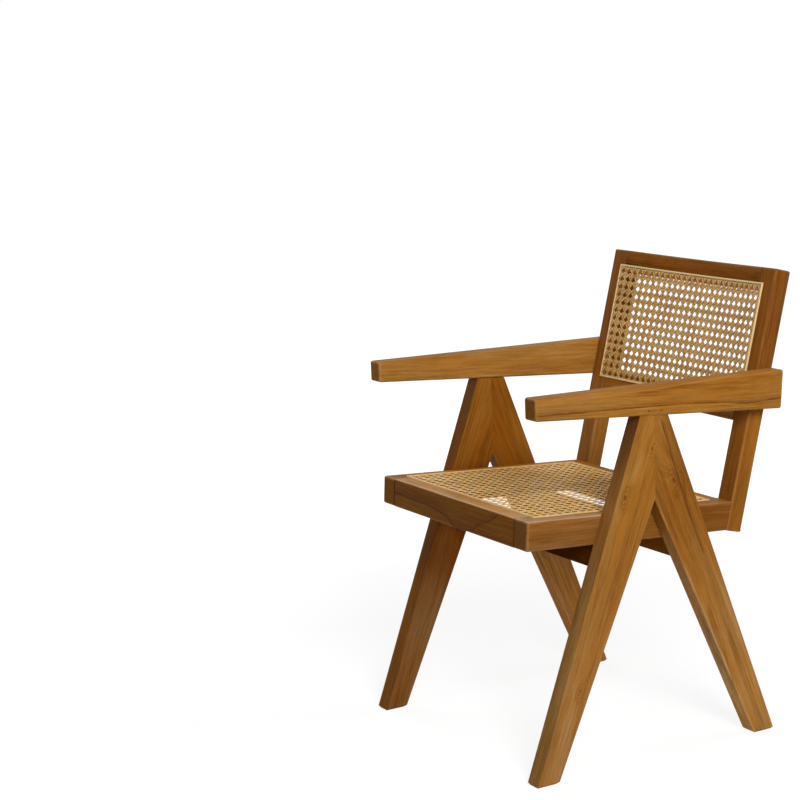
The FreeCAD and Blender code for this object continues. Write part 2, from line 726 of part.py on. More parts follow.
def make_seat_cane(label):
    """Open cane stretched flat over the seat frame, inside the spline."""
    half_width = value(f"{SEAT_RING_X[0]} - fit_play")
    near = value(f"{SEAT_RING[0]} + spline_width + fit_play")
    far = value(f"{SEAT_RING[1]} - spline_width - fit_play")
    top = -value("fit_play + cane_thick")
    columns = gap_middles(-half_width, half_width)
    rows = gap_middles(near, far)
    net = holed_face((-half_width, half_width), (near, far), columns, rows, lambda x: top)
    place_cane(label, SEAT, net.extrude(FreeCAD.Vector(0, value("cane_thick"), 0)), 90)


def make_back_cane(label):
    """Open cane that follows the bow of the back rails: a flat strip for each column of gaps."""
    half_width = value(f"{BACK_RING_X[0]} - fit_play")
    low = value(f"{BACK_RING[0]} + spline_width + fit_play")
    high = value(f"{BACK_RING[1]} - spline_width - fit_play")
    bow_end = value(POST_INNER)
    sag = value("back_rail_sag")
    radius = (bow_end ** 2 + sag ** 2) / (2 * sag)
    half_pitch = value("cane_pitch") / 2
    front = -value("fit_play + cane_thick")

    def bow(x):
        """Depth of the cane's front at x: on the rails' arc between the posts, and flat on the posts."""
        inside = min(abs(x), bow_end)
        return front + math.sqrt(radius ** 2 - inside ** 2) - radius + sag

    columns = gap_middles(-bow_end, bow_end)
    rows = gap_middles(low, high)
    bounds = [-half_width, -bow_end, *(column - half_pitch for column in columns)]
    bounds += [columns[-1] + half_pitch, bow_end, half_width]
    strips = []
    for start, end in zip(bounds, bounds[1:]):
        slope = (bow(end) - bow(start)) / (end - start)
        held = [column for column in columns if start < column < end]
        face = holed_face((start, end), (low, high), held, rows, lambda x: bow(start) + slope * (x - start))
        strips.append(face.extrude(FreeCAD.Vector(0, value("cane_thick"), 0)))
    place_cane(label, BACK, Part.makeCompound(strips), 0)


# Pegs and loose tenons, each a group of separate solids


def make_pegs(label):
    """Pegs from the arm's outer face through the leg tenons."""
    pegs = new_piece(label)
    for side in (-1, 1):
        near = f"{ARM_FACE} - peg_long"
        ends = side_sketch(pegs, f"{label}_{SIDE_NAMES[side]}", FLOOR, run(side, near, ARM_FACE))
        for sign in (-1, 1):
            draw_circle(ends, peg_place(sign), "peg_thick")
        add(pegs, ends, "peg_long")


def make_mitre_tenons(label):
    """One loose tenon across the mitre of each leg frame."""
    tenons = new_piece(label)
    near = f"{LEG_MIDDLE} - loose_thick / 2"
    far = f"{LEG_MIDDLE} + loose_thick / 2"
    (_, front), up = mitre_tenon(-1)
    (_, rear), _ = mitre_tenon(1)
    for side in (-1, 1):
        outline = side_sketch(tenons, f"{label}_{SIDE_NAMES[side]}", FLOOR, run(side, near, far))
        draw_box(outline, (front, rear), up)
        add(tenons, outline, "loose_thick")


def make_cross_tenons(label, frame, middles, flat):
    """Loose tenons that cross the plane between the leg frames and what they carry."""
    tenons = new_piece(label)
    near = f"{HALF_SEAT} - loose_reach"
    far = f"{HALF_SEAT} + loose_reach"
    for side in (-1, 1):
        outline = side_sketch(tenons, f"{label}_{SIDE_NAMES[side]}", frame, run(side, near, far))
        for middle in middles:
            draw_box(outline, *loose_tenon(middle, flat))
        add(tenons, outline, "2 * loose_reach")


for side, side_name in SIDE_NAMES.items():
    make_leg(f"front_leg_{side_name}", side, -1)
    make_leg(f"rear_leg_{side_name}", side, 1)
    make_arm(f"armrest_{side_name}", side)
    make_side_rail(f"seat_side_rail_{side_name}", side)
    make_post(f"back_post_{side_name}", side)
make_cross_rail("seat_front_rail", -1)
make_cross_rail("seat_rear_rail", 1)
make_beam("front_cross_beam", -1)
make_beam("rear_cross_beam", 1)
make_back_rail("back_lower_rail", LOWER_RAIL, groove_span(BACK_RING[0], "+"))
make_back_rail("back_top_rail", TOP_RAIL, groove_span(BACK_RING[1], "-"))
make_seat_spline("seat_cane_spline")
make_back_spline("back_cane_spline")
make_seat_cane("seat_cane")
make_back_cane("back_cane")
make_pegs("arm_pegs")
make_mitre_tenons("leg_mitre_tenons")
make_cross_tenons("leg_rail_tenons", SEAT, [leg_on_rail(-1), leg_on_rail(1)], True)
make_cross_tenons("arm_post_tenons", BACK, [ARM_ON_POST], False)
doc.recompute()

for item in doc.Objects:
    if {"Invalid", "Error"} & set(item.State):
        raise RuntimeError(f"{item.Label} did not compute: {item.State}")

pieces = [item for item in doc.Objects if item.TypeId in ("PartDesign::Body", "Part::Feature")]
for piece in pieces:
    if piece.Shape.isNull() or not piece.Shape.isValid() or not piece.Shape.Solids:
        raise RuntimeError(f"{piece.Label} has no sound solid")

os.makedirs("parts", exist_ok=True)
for piece in pieces:
    piece.Shape.exportStep(f"parts/{piece.Label}.step")
    print(piece.Label, len(piece.Shape.Solids), round(piece.Shape.Volume))
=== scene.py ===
"""An oiled teak armchair with V-shaped side frames and woven cane in its seat and back."""
import math

import bmesh
import bpy
from mathutils import Euler, Matrix, Vector


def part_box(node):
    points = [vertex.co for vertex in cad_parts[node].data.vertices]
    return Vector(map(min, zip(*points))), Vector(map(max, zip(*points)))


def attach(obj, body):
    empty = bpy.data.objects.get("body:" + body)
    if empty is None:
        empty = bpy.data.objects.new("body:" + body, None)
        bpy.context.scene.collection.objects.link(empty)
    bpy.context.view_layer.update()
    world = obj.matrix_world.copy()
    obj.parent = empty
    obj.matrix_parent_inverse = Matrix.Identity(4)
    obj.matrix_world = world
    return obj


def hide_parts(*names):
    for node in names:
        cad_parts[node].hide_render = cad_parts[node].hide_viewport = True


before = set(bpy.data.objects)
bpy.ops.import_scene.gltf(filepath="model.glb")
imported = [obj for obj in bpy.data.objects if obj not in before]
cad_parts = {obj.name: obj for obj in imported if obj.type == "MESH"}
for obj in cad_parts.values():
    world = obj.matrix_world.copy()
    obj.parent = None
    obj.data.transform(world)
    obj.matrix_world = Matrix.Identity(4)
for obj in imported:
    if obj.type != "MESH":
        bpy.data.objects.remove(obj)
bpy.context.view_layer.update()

MM = 0.001
ACROSS = Vector((1, 0, 0))

# The two planes that carry cane. The seat falls to the back and the back leans over.
SEAT_FRONT = Vector((0, -273.65, 435.7)) * MM
SEAT_SLOPE = math.radians(3.95)
SEAT_ALONG = Vector((0, math.cos(SEAT_SLOPE), -math.sin(SEAT_SLOPE)))
SEAT_UP = Vector((0, math.sin(SEAT_SLOPE), math.cos(SEAT_SLOPE)))
BACK_FOOT = Vector((0, 142.858, 406.94)) * MM
POST_LEAN = math.radians(14.65)
BACK_ALONG = Vector((0, math.sin(POST_LEAN), math.cos(POST_LEAN)))
BACK_REAR = Vector((0, math.cos(POST_LEAN), -math.sin(POST_LEAN)))

# The back rails bow to the rear between the posts.
BOWED = ("back_top_rail", "back_lower_rail")
BOW_HALF = 189 * MM
BOW_SAG = 12 * MM
BOW_RADIUS = (BOW_HALF ** 2 + BOW_SAG ** 2) / (2 * BOW_SAG)

# Spline rings, measured to the middle of the strip: half width, then low and high ends.
SEAT_RING = (199 * MM, 32 * MM, 389 * MM)
BACK_RING = (199 * MM, 164 * MM, 372.5 * MM)

# The reed in the rings: its section, its mesh, and its tone, which changes a little from side to side.
SPLINE_WIDTH = 4 * MM
SPLINE_PROUD = 2.4 * MM
SPLINE_SINK = 1 * MM
SPLINE_CROWN = 0.7
CROWN_STEPS = 8
SIDE_PIECES = 24
PIECE_RUN = 16 * MM
REED_SIDE = 0.7
REED_TONE = 0.75
REED_TONE_STEP = 0.05

# Cane as it is woven: the pitch and count of the pairs each way, the strands, and the seed of their tones.
SEAT_WEAVE = {
    "Columns": 26, "Rows": 23, "Column Pitch": 15.1 * MM, "Row Pitch": 15.3 * MM,
    "Strand Width": 2.0 * MM, "Diagonal Width": 1.9 * MM, "Strand Thickness": 0.35 * MM,
    "Pair Spacing": 1.95 * MM, "Seed": 11,
}
BACK_WEAVE = {
    "Columns": 26, "Rows": 14, "Column Pitch": 15.1 * MM, "Row Pitch": 14.7 * MM,
    "Strand Width": 3.0 * MM, "Diagonal Width": 3.5 * MM, "Strand Thickness": 0.55 * MM,
    "Pair Spacing": 2.95 * MM, "Seed": 47,
}
WEB_LIFT = 1.0 * MM
BACK_WEB_DROP = 1.5 * MM
PLAIN_STEPS = 8
DIAGONAL_STEPS = 4
TOP_DRAWN_IN = 0.32
CROSSING_REACH = 0.26

# Rounding of the arrises, which is broader where hands and clothes rub.
ARRIS_ROUND = 2.5 * MM
ARRIS_STEPS = 3
BROAD_ROUNDS = {
    "armrest": 3.8 * MM, "seat_side": 3.8 * MM, "back_post": 3.0 * MM,
    "front_leg": 3.2 * MM, "rear_leg": 3.2 * MM,
}

# Wear and painted highlight of the arrises: 1, where nothing else is given, is rubbed and glinting and 0 is
# plain. Below zero is painted shade, at the floor and in the joint where the ends of the side rails meet the
# front and rear rails.
ARRIS_WEAR_AND_GLINT = {"back_post": 0.8, "armrest": 0.6, "front_leg": 0.3}
FOOT_SHADE = -0.7
JOINT_SHADE = {"seat_side_rail_left": -0.4, "seat_side_rail_right": -1.0}
SEAT_JOINT = 190.5 * MM

# Ends of the boards that stand free: -1 where the grain starts and 1 where it ends.
OPEN_ENDS = {
    "armrest": (-1, 1), "back_post": (-1, 1), "seat_side": (-1, 1), "front_leg": (-1,), "rear_leg": (-1,),
}

# What counts as flat, as an arris, as along the grain and as an end in the meshes of the boards.
WELD = 0.001 * MM
FLAT_SLACK = 0.05 * MM
FLAT_ANGLE = math.radians(0.5)
ARRIS_ANGLE = math.radians(60)
ALONG_GRAIN = 0.96
END_FACING = 0.9
SHARP_TIMBER = math.radians(40)
SHARP_REED = math.radians(50)

# Direction of the grain in each piece of the frame, then where the heart of the tree lies from its
# middle, in millimetres, and the tone of its board: what it keeps of the red, green and blue of teak. Some
# tones are painted shade: the far legs and the front cross beam are darkened for the shade under the seat,
# and the front rail for the shade on its front face.
# The legs run forward or back and the arms fall by these shares of their grain.
LEG_RUN = 0.38
ARM_FALL = 0.066
TIMBER = {
    "front_leg_left": ((0, LEG_RUN, 1), (95, 40, 310), (0.89, 0.87, 0.84)),
    "front_leg_right": ((0, LEG_RUN, 1), (-80, 70, 1730), (0.79, 0.68, 0.50)),
    "rear_leg_left": ((0, -LEG_RUN, 1), (70, -65, 2890), (0.75, 0.69, 0.62)),
    "rear_leg_right": ((0, -LEG_RUN, 1), (-110, 45, 4410), (0.75, 0.61, 0.32)),
    "armrest_left": ((0, 1, -ARM_FALL), (60, 75, 5170), (1.00, 0.98, 0.94)),
    "armrest_right": ((0, 1, -ARM_FALL), (-75, 60, 6890), (1.04, 1.09, 1.27)),
    "back_post_left": (BACK_ALONG, (85, 60, 7310), (0.58, 0.45, 0.35)),
    "back_post_right": (BACK_ALONG, (-95, 50, 8630), (0.67, 0.55, 0.37)),
    "back_top_rail": (ACROSS, (77, 66, 9310), (0.66, 0.54, 0.34)),
    "back_lower_rail": (ACROSS, (60, -70, 10570), (0.80, 0.72, 0.62)),
    "seat_side_rail_left": (SEAT_ALONG, (75, 65, 11930), (0.52, 0.42, 0.31)),
    "seat_side_rail_right": (SEAT_ALONG, (-70, 80, 12770), (0.80, 0.72, 0.65)),
    "seat_front_rail": (ACROSS, (38, 46, 13330), (0.51, 0.40, 0.05)),
    "seat_rear_rail": (ACROSS, (65, 55, 14890), (0.90, 0.86, 0.80)),
    # Painted shade: the front cross beam is darkened for the shade under the seat.
    "front_cross_beam": (ACROSS, (60, 60, 15310), (0.26, 0.16, 0.08)),
    "rear_cross_beam": (ACROSS, (80, 50, 16930), (0.72, 0.64, 0.60)),
}

# Pegs and loose tenons, which keep their CAD meshes.
HIDDEN_TIMBER = {
    "arm_pegs": (ACROSS, (20, 20, 17310), (0.80, 0.75, 0.70)),
    "leg_mitre_tenons": ((0, 1, 0), (40, 30, 18730), (0.95, 0.95, 0.95)),
    "leg_rail_tenons": (ACROSS, (40, 30, 19110), (0.95, 0.95, 0.95)),
    "arm_post_tenons": (ACROSS, (40, 30, 20310), (0.95, 0.95, 0.95)),
}

# Boards that change along their length: the axis, where a change starts and ends in millimetres, and the
# tone before it. The legs are painted lighter towards the floor, painted light from the floor, and the top
# rail lighter along its lower edge, painted light against the shade there. The arm, the back posts and the
# near side rail change in tone along their length.
LENGTH_TONES = {
    "front_leg_left": (("Z", 80, 480, (0.94, 1.02, 1.62)),),
    "rear_leg_left": (("Z", 80, 450, (1.11, 1.24, 1.90)),),
    "rear_leg_right": (("Z", 80, 400, (1.52, 1.52, 1.95)),),
    "armrest_left": (("Y", -300, -90, (0.77, 0.71, 0.63)),),
    "back_post_left": (("Z", 560, 690, (0.78, 0.68, 0.54)),),
    "back_post_right": (("Z", 560, 690, (0.79, 0.75, 0.74)),),
    "back_top_rail": (("Z", 764, 788, (1.40, 1.18, 0.78)),),
    "seat_side_rail_left": (("Y", -100, 60, (0.67, 0.64, 0.80)),),
}

# Faces with a tone of their own, which may change along the board too, painted light and shade: rail tops
# painted lighter and paler where the light falls on them, painted shade on the inside of the seat frame,
# painted shadow on the legs under the arms and the seat, and painted shade on the front faces of the near
# rear leg, lighter towards the floor, and of the near back post. A face takes its tone between these two
# shares of facing its way.
FACE_FROM, FACE_TO = 0.55, 0.95
INSIDE_SHADE = (0.30, 0.22, 0.14)
LEG_FRONT = (0, -0.935, 0.355)
REAR_LEG_FRONT = (0, -0.908, -0.420)
POST_FRONT = (0, -0.967, 0.253)
FACE_TONES = {
    "seat_front_rail": (((0, 0, 1), (1.56, 2.00, 4.40), ()), ((0, 1, 0), INSIDE_SHADE, ())),
    "seat_side_rail_left": (
        ((0, 0, 1), (0.90, 0.95, 1.25), (("Y", -100, 60, (1.30, 1.70, 4.20)),)),
        ((-1, 0, 0), INSIDE_SHADE, ()),
    ),
    "seat_side_rail_right": (
        ((0, 0, 1), (1.15, 0.95, 0.72), (("Y", -230, -120, (0.92, 1.05, 1.80)),)),
        ((1, 0, 0), INSIDE_SHADE, ()),
    ),
    "seat_rear_rail": (((0, -1, 0), INSIDE_SHADE, ()),),
    # Painted shadow of the arm at the top of the front face, and painted light towards the floor.
    "front_leg_left": ((
        LEG_FRONT, (0.28, 0.23, 0.18),
        (("Z", 420, 590, (0.72, 0.72, 0.88)), ("Z", 250, 430, (0.77, 0.90, 1.45))),
    ),),
    # Painted shadow of the seat on the inner face, and of the arm at the top of the front face.
    "front_leg_right": (
        ((1, 0, 0), (0.75, 0.64, 0.40),
         (("Z", 395, 440, (0.45, 0.27, 0.10)), ("Z", 300, 345, (0.76, 0.54, 0.38)),
          ("Z", 150, 290, (0.60, 0.60, 0.95)))),
        (LEG_FRONT, (0.38, 0.30, 0.18),
         (("Z", 430, 590, (0.54, 0.39, 0.16)), ("Z", 120, 330, (0.62, 0.51, 0.24)))),
    ),
    "rear_leg_left": ((REAR_LEG_FRONT, (0.80, 0.72, 0.50), (("Z", 80, 450, (1.50, 1.88, 3.20)),)),),
    "back_post_left": ((POST_FRONT, (0.67, 0.54, 0.35), ()),),
}

# Knots on the outer faces of the legs: place along Y and Z, then size, in millimetres.
KNOTS = {
    "front_leg_left": ((-46, 529, 11), (-102, 455, 14), (-199, 148, 9)),
    "rear_leg_left": ((-2, 470, 15),),
}
KNOT_RATE = (180, 180, 120)
KNOT_SQUASH = 0.55
KNOT_UNEVEN = 0.5
KNOT_FADING = -0.7
KNOT_PUSH = 1.3
KNOT_TURNS = 19.0

# Mineral lines: the plane that they are drawn in, their points and their half width, in millimetres. They
# shake, break and fade at both ends, and a stain spreads from their upper side.
DARK_LINES = {
    "armrest_left": ("YZ", ((-310, 615), (-137, 605), (-35, 599.5), (35, 594.5), (108, 587.5), (150, 581),
                            (200, 580), (265, 584)), 2.0),
    "rear_leg_left": ("ZY", ((330, 59), (361, 48), (439, 18), (520, -9), (580, -29)), 1.5),
    "seat_front_rail": ("XZ", ((-200, 412), (-129, 410.5), (-69, 409), (-20, 402), (15, 389), (59, 391),
                               (83, 404), (119, 419), (150, 438)), 2.2),
}
PALE_LINES = {
    "armrest_left": ("YZ", ((-310, 631), (-172, 628), (-71, 628), (35, 629), (106, 630), (160, 633)), 2.2),
}
LINE_MARGIN = 5
LINE_SHAKE = 3 * MM
SHAKE_RATE = (60, 60, 60)
BREAK_RATE = (30, 30, 30)
LINE_FADE = 0.06
STAIN_DEPTH = 0.38
STAIN_REACH = 6

# Colours of teak, from sapwood to the darkest vein, and of its rubbed arrises with their painted highlight,
# the painted shade in joints and at the floor, and end grain.
PALE_TEAK = (0.430, 0.215, 0.054)
MID_TEAK = (0.325, 0.135, 0.0205)
DEEP_TEAK = (0.195, 0.066, 0.0075)
VEIN_TEAK = (0.115, 0.031, 0.004)
RUBBED_GLINT_TEAK = (0.47, 0.25, 0.085)
JOINT_AND_FOOT_SHADE = (0.035, 0.016, 0.005)
END_TEAK = (0.165, 0.088, 0.014)
COOL_TINT, WARM_TINT = (0.95, 1.01, 1.15), (1.04, 0.97, 0.78)

# Growth rings, how far the grain wanders from them, and its relief.
BAND_SPACING = 16 * MM
LINE_SPACING = 2.6 * MM
GRAIN_DRIFT = 14 * MM
RIPPLE_DEPTH = 1.6 * MM
GRAIN_RELIEF = 0.3 * MM
RELIEF_STRENGTH = 0.3

# How often each cloud in the grain changes in a metre: two ways across the board, then along it.
SWAY_RATE = (7, 7, 3.5)
RIPPLE_RATE = (30, 30, 22)
STREAK_RATE = (260, 260, 9)
FIBRE_RATE = (900, 900, 26)
PORE_RATE = (1300, 1300, 50)
CLOUD_RATE = (20, 20, 5)
PLAIN_RATE = (14, 14, 6)
WARMTH_RATE = (34, 34, 5)
SPECKLE_RATE = (700, 700, 90)
RUB_AND_GLINT_RATE = (70, 70, 14)

# How much the bands, lines, streaks, fibres and clouds of the grain each sway its colour.
BAND_SHARE, LINE_SHARE, STREAK_SHARE, FIBRE_SHARE, CLOUD_SHARE = 0.17, 0.30, 0.26, 0.75, 0.90

# Sheen: the oil on the boards leaves little of it, and the rough beams under the seat have none.
TEAK_ROUGHNESS = 0.54
TEAK_SPECULAR = 0.04
BEAM_SPECULAR = 0.0
CANE_SPECULAR = 0.2
CANE_COAT_ROUGHNESS = 0.35

# Colours of peeled cane, and how often its clouds change across a strand, along it and between strands.
DEEP_CANE, PALE_CANE = (0.50, 0.285, 0.085), (0.88, 0.63, 0.28)
PINK_BLUSH, GREEN_BLUSH = (1.06, 0.96, 0.98), (0.95, 1.04, 0.98)
FIBRE_CANE = (0.38, 0.20, 0.06)
# The edge colour is painted shade in the gaps between the strands.
CANE_EDGE_SHADE = (0.17, 0.078, 0.02)
STRAND_APART = 37.0
CANE_FIBRE_RATE = (9, 60, 1)
CANE_LENGTH_RATE = (0.6, 14, 1)
CANE_BLUSH_RATE = (0.3, 12, 3)
CANE_RELIEF = 0.1 * MM

# The studio: a pale floor that fades into white, and soft lights with their place, size and power.
FLOOR_REACH = 12.0
FLOOR_TONES = (0.60, 0.60, 0.60), (0.66, 0.66, 0.66)
FLOOR_MOTTLE_RATE = (3, 3, 3)
FLOOR_SEEN = (0.21, 0.21, 0.21)
FLOOR_GLOW = (0.7, 2.2, 0.84, 1.0)
FLOOR_ROUGHNESS = 0.9
SKY_LIGHT = 0.15
WHITE = (1, 1, 1, 1)
LAMP_AIM = Vector((0, 0, 0.45))
LAMPS = {
    "side_light": ((3.8, -1.42, 2.75), 1.6, 190),
    "top_light": ((0.2, -0.1, 3.4), 2.0, 5),
    "left_light": ((-3.6, -0.2, 2.2), 2.2, 42),
    "rear_light": ((0.6, 3.8, 2.2), 2.2, 45),
}

# The camera of the photograph's lower view: its place in metres, its turn in degrees, and its lens.
CAMERA_PLACE = (2.9159454, -2.07086331, 1.22836576)
CAMERA_TURN = (79.69690804, 2.14166301, 59.31592363)
CAMERA_SENSOR = 36
CAMERA_LENS = 93.77


class Wiring:
    """Adds nodes to one tree and joins them."""

    def __init__(self, tree):
        self.tree = tree

    def node(self, kind, inputs=None, **settings):
        """A node with its settings, and each input joined to a socket or set to a value."""
        made = self.tree.nodes.new(kind)
        for name, setting in settings.items():
            setattr(made, name, setting)
        for key, given in (inputs or {}).items():
            self.give(made.inputs[key], given)
        return made

    def give(self, socket, given):
        """Join a socket to another, or set its own value."""
        if isinstance(given, bpy.types.NodeSocket):
            self.tree.links.new(given, socket)
        elif socket.type == "RGBA" and len(given) == 3:
            socket.default_value = (*given, 1)
        else:
            socket.default_value = given

    def math(self, operation, *values, clamp=False):
        """One step of arithmetic."""
        made = self.node("ShaderNodeMath", dict(enumerate(values)), operation=operation, use_clamp=clamp)
        return made.outputs[0]

    def vector(self, operation, first, second):
        """One step of vector arithmetic."""
        return self.node("ShaderNodeVectorMath", {0: first, 1: second}, operation=operation).outputs[0]

    def length(self, vector):
        """The length of a vector."""
        return self.node("ShaderNodeVectorMath", {0: vector}, operation="LENGTH").outputs["Value"]

    def split(self, vector):
        """The three parts of a vector."""
        return self.node("ShaderNodeSeparateXYZ", {0: vector}).outputs

    def join(self, x, y, z):
        """A vector from its three parts."""
        return self.node("ShaderNodeCombineXYZ", {0: x, 1: y, 2: z}).outputs[0]

    def between(self, value, low, high, to_low=0.0, to_high=1.0):
        """A value carried smoothly from one span to another."""
        spans = {0: value, 1: low, 2: high, 3: to_low, 4: to_high}
        return self.node("ShaderNodeMapRange", spans, interpolation_type="SMOOTHSTEP").outputs[0]

    def blend(self, share, first, second, way):
        """Two colours laid over each other."""
        made = self.node("ShaderNodeMix", data_type="RGBA", blend_type=way)
        for index, given in ((0, share), (6, first), (7, second)):
            self.give(made.inputs[index], given)
        return made.outputs[2]

    def mix(self, share, first, second):
        """A colour between two others."""
        return self.blend(share, first, second, "MIX")

    def tint(self, colour, shade):
        """One colour seen through another."""
        return self.blend(1.0, colour, shade, "MULTIPLY")

    def noise(self, vector, scale, detail=2.0, roughness=0.5):
        """Uneven cloud, between about 0.3 and 0.7, over a vector scaled by three numbers."""
        scaled = self.vector("MULTIPLY", vector, scale)
        inputs = {"Vector": scaled, "Scale": 1.0, "Detail": detail, "Roughness": roughness}
        return self.node("ShaderNodeTexNoise", inputs).outputs

    def shake(self, vector, scale):
        """Uneven vector about zero."""
        return self.vector("SUBTRACT", self.noise(vector, scale)["Color"], (0.5, 0.5, 0.5))

    def bright_rays(self):
        """Rays from the camera, with those by way of gloss or clear pieces; then the straight ones alone."""
        rays = self.node("ShaderNodeLightPath").outputs
        seen = self.math("MAXIMUM", rays["Is Camera Ray"], rays["Is Glossy Ray"])
        return self.math("MAXIMUM", seen, rays["Is Transmission Ray"]), rays["Is Camera Ray"]


def shader_group(name, takes, gives):
    """A named shader group with its sockets, and the wiring to fill it."""
    tree = bpy.data.node_groups.new(name, "ShaderNodeTree")
    for socket, kind in takes.items():
        tree.interface.new_socket(socket, in_out="INPUT", socket_type=f"NodeSocket{kind}")
    for socket, kind in gives.items():
        tree.interface.new_socket(socket, in_out="OUTPUT", socket_type=f"NodeSocket{kind}")
    wiring = Wiring(tree)
    return tree, wiring, wiring.node("NodeGroupInput").outputs, wiring.node("NodeGroupOutput").inputs


def teak_grain():
    """Oiled teak: bands and lines about the heart, long streaks, pores, end grain, worn arrises, painted
    highlight and shade.
    """
    takes = {
        "Place": "Vector", "Facing": "Vector", "Arris": "Float", "Shade": "Color", "Drift": "Float",
        "Push": "Float", "Knot": "Float", "Dark Line": "Float", "Pale Line": "Float",
    }
    gives = {"Color": "Color", "Roughness": "Float", "Height": "Float"}
    tree, w, given, out = shader_group("teak_grain", takes, gives)
    place = given["Place"]
    sway = w.node("ShaderNodeVectorMath", {0: w.shake(place, SWAY_RATE), "Scale": given["Drift"]},
                  operation="SCALE")
    ripple = w.vector("MULTIPLY", w.shake(place, RIPPLE_RATE), (RIPPLE_DEPTH, RIPPLE_DEPTH, 0))
    swayed = w.vector("ADD", w.vector("ADD", place, sway.outputs[0]), ripple)
    x, y, _ = w.split(swayed)
    radius = w.math("SQRT", w.math("ADD", w.math("MULTIPLY", x, x), w.math("MULTIPLY", y, y)))
    radius = w.math("ADD", radius, given["Push"])

    def rings(spacing, detail, roughness):
        """Uneven rings about the heart, a mean spacing apart."""
        count = w.math("DIVIDE", radius, spacing)
        inputs = {"W": count, "Scale": 1.0, "Detail": detail, "Roughness": roughness}
        return w.node("ShaderNodeTexNoise", inputs, noise_dimensions="1D").outputs[0]

    band = w.between(rings(BAND_SPACING, 1.0, 0.5), 0.30, 0.70)
    line = w.between(rings(LINE_SPACING, 3.0, 0.6), 0.34, 0.66)
    streak = w.between(w.noise(swayed, STREAK_RATE, 4, 0.6)[0], 0.34, 0.66)
    fibre = w.noise(swayed, FIBRE_RATE, 3, 0.65)[0]
    pore_cloud = w.noise(swayed, PORE_RATE, 1)[0]
    pore = w.math("MULTIPLY", w.between(pore_cloud, 0.56, 0.70), w.between(band, 0.1, 0.8, 1.0, 0.4))
    cloud = w.noise(place, CLOUD_RATE, 3)[0]
    plain = w.between(w.noise(place, PLAIN_RATE, 1)[0], 0.42, 0.66)

    body = 0.5
    for part, share in (
        (band, BAND_SHARE), (line, LINE_SHARE), (streak, STREAK_SHARE), (fibre, FIBRE_SHARE),
        (cloud, CLOUD_SHARE),
    ):
        swing = w.math("MULTIPLY", w.math("SUBTRACT", part, 0.5), share)
        if part is line:
            swing = w.math("MULTIPLY", swing, plain)
        body = w.math("ADD", body, swing)
    colour = w.mix(w.between(body, 0.05, 0.55), DEEP_TEAK, MID_TEAK)
    colour = w.mix(w.between(body, 0.45, 1.0), colour, PALE_TEAK)
    warm = w.between(w.noise(swayed, WARMTH_RATE, 3, 0.6)[0], 0.36, 0.64)
    colour = w.tint(colour, w.mix(warm, COOL_TINT, WARM_TINT))
    for mark, strength, stain in (
        (pore, 0.45, DEEP_TEAK), (given["Knot"], 0.8, VEIN_TEAK), (given["Pale Line"], 0.45, PALE_TEAK),
        (given["Dark Line"], 0.9, VEIN_TEAK),
    ):
        colour = w.mix(w.math("MULTIPLY", mark, strength), colour, stain)

    speckle = w.noise(place, SPECKLE_RATE, 3, 0.7)[0]
    end_colour = w.mix(w.between(speckle, 0.35, 0.65), END_TEAK, DEEP_TEAK)
    end_colour = w.mix(w.math("MULTIPLY", line, 0.4), end_colour, MID_TEAK)
    ending = w.between(w.math("ABSOLUTE", w.split(given["Facing"])[2]), 0.72, 0.93)
    colour = w.mix(ending, colour, end_colour)

    # Arrises take a paler rubbed colour, which is wear with a painted highlight; below zero the arris mark is
    # painted shade.
    rub_and_glint = w.between(w.noise(place, RUB_AND_GLINT_RATE, 3)[0], 0.38, 0.62, 0.18, 0.62)
    arris_marks = w.math("MAXIMUM", given["Arris"], 0.0)
    colour = w.tint(w.mix(w.math("MULTIPLY", arris_marks, rub_and_glint), colour, RUBBED_GLINT_TEAK), given["Shade"])
    painted_shade = w.math("MULTIPLY", given["Arris"], -0.85, clamp=True)
    w.give(out["Color"], w.mix(painted_shade, colour, JOINT_AND_FOOT_SHADE))

    rough = TEAK_ROUGHNESS
    for part, change in ((pore, 0.2), (streak, -0.08), (ending, 0.18), (arris_marks, -0.08)):
        rough = w.math("ADD", rough, w.math("MULTIPLY", part, change))
    w.give(out["Roughness"], rough)
    height = w.math("SUBTRACT", w.math("MULTIPLY", fibre, 0.5), pore)
    w.give(out["Height"], w.math("ADD", height, w.math("MULTIPLY", streak, 0.35)))
    return tree


def teak_knot():
    """A small knot in a board: how far it pushes the rings aside, and its dark heart."""
    takes = {"Place": "Vector", "Size": "Float"}
    tree, w, given, out = shader_group("teak_knot", takes, {"Push": "Float", "Knot": "Float"})
    _, y, z = w.split(given["Place"])
    reach = w.length(w.join(0.0, y, w.math("MULTIPLY", z, KNOT_SQUASH)))
    reach = w.math("DIVIDE", reach, given["Size"])
    uneven = w.math("SUBTRACT", w.noise(given["Place"], KNOT_RATE)[0], 0.5)
    reach = w.math("ADD", reach, w.math("MULTIPLY", uneven, KNOT_UNEVEN))
    fading = w.math("EXPONENT", w.math("MULTIPLY", w.math("MULTIPLY", reach, reach), KNOT_FADING))
    w.give(out["Push"], w.math("MULTIPLY", fading, w.math("MULTIPLY", given["Size"], KNOT_PUSH)))
    turns = w.math("SINE", w.math("MULTIPLY", reach, KNOT_TURNS))
    heart = w.between(reach, 0.10, 0.26, 0.85, 0.0)
    swirl = w.math("MULTIPLY", w.between(turns, 0.35, 1.0), w.between(reach, 0.5, 1.4, 0.5, 0.0))
    w.give(out["Knot"], w.math("MAXIMUM", heart, swirl))
    return tree


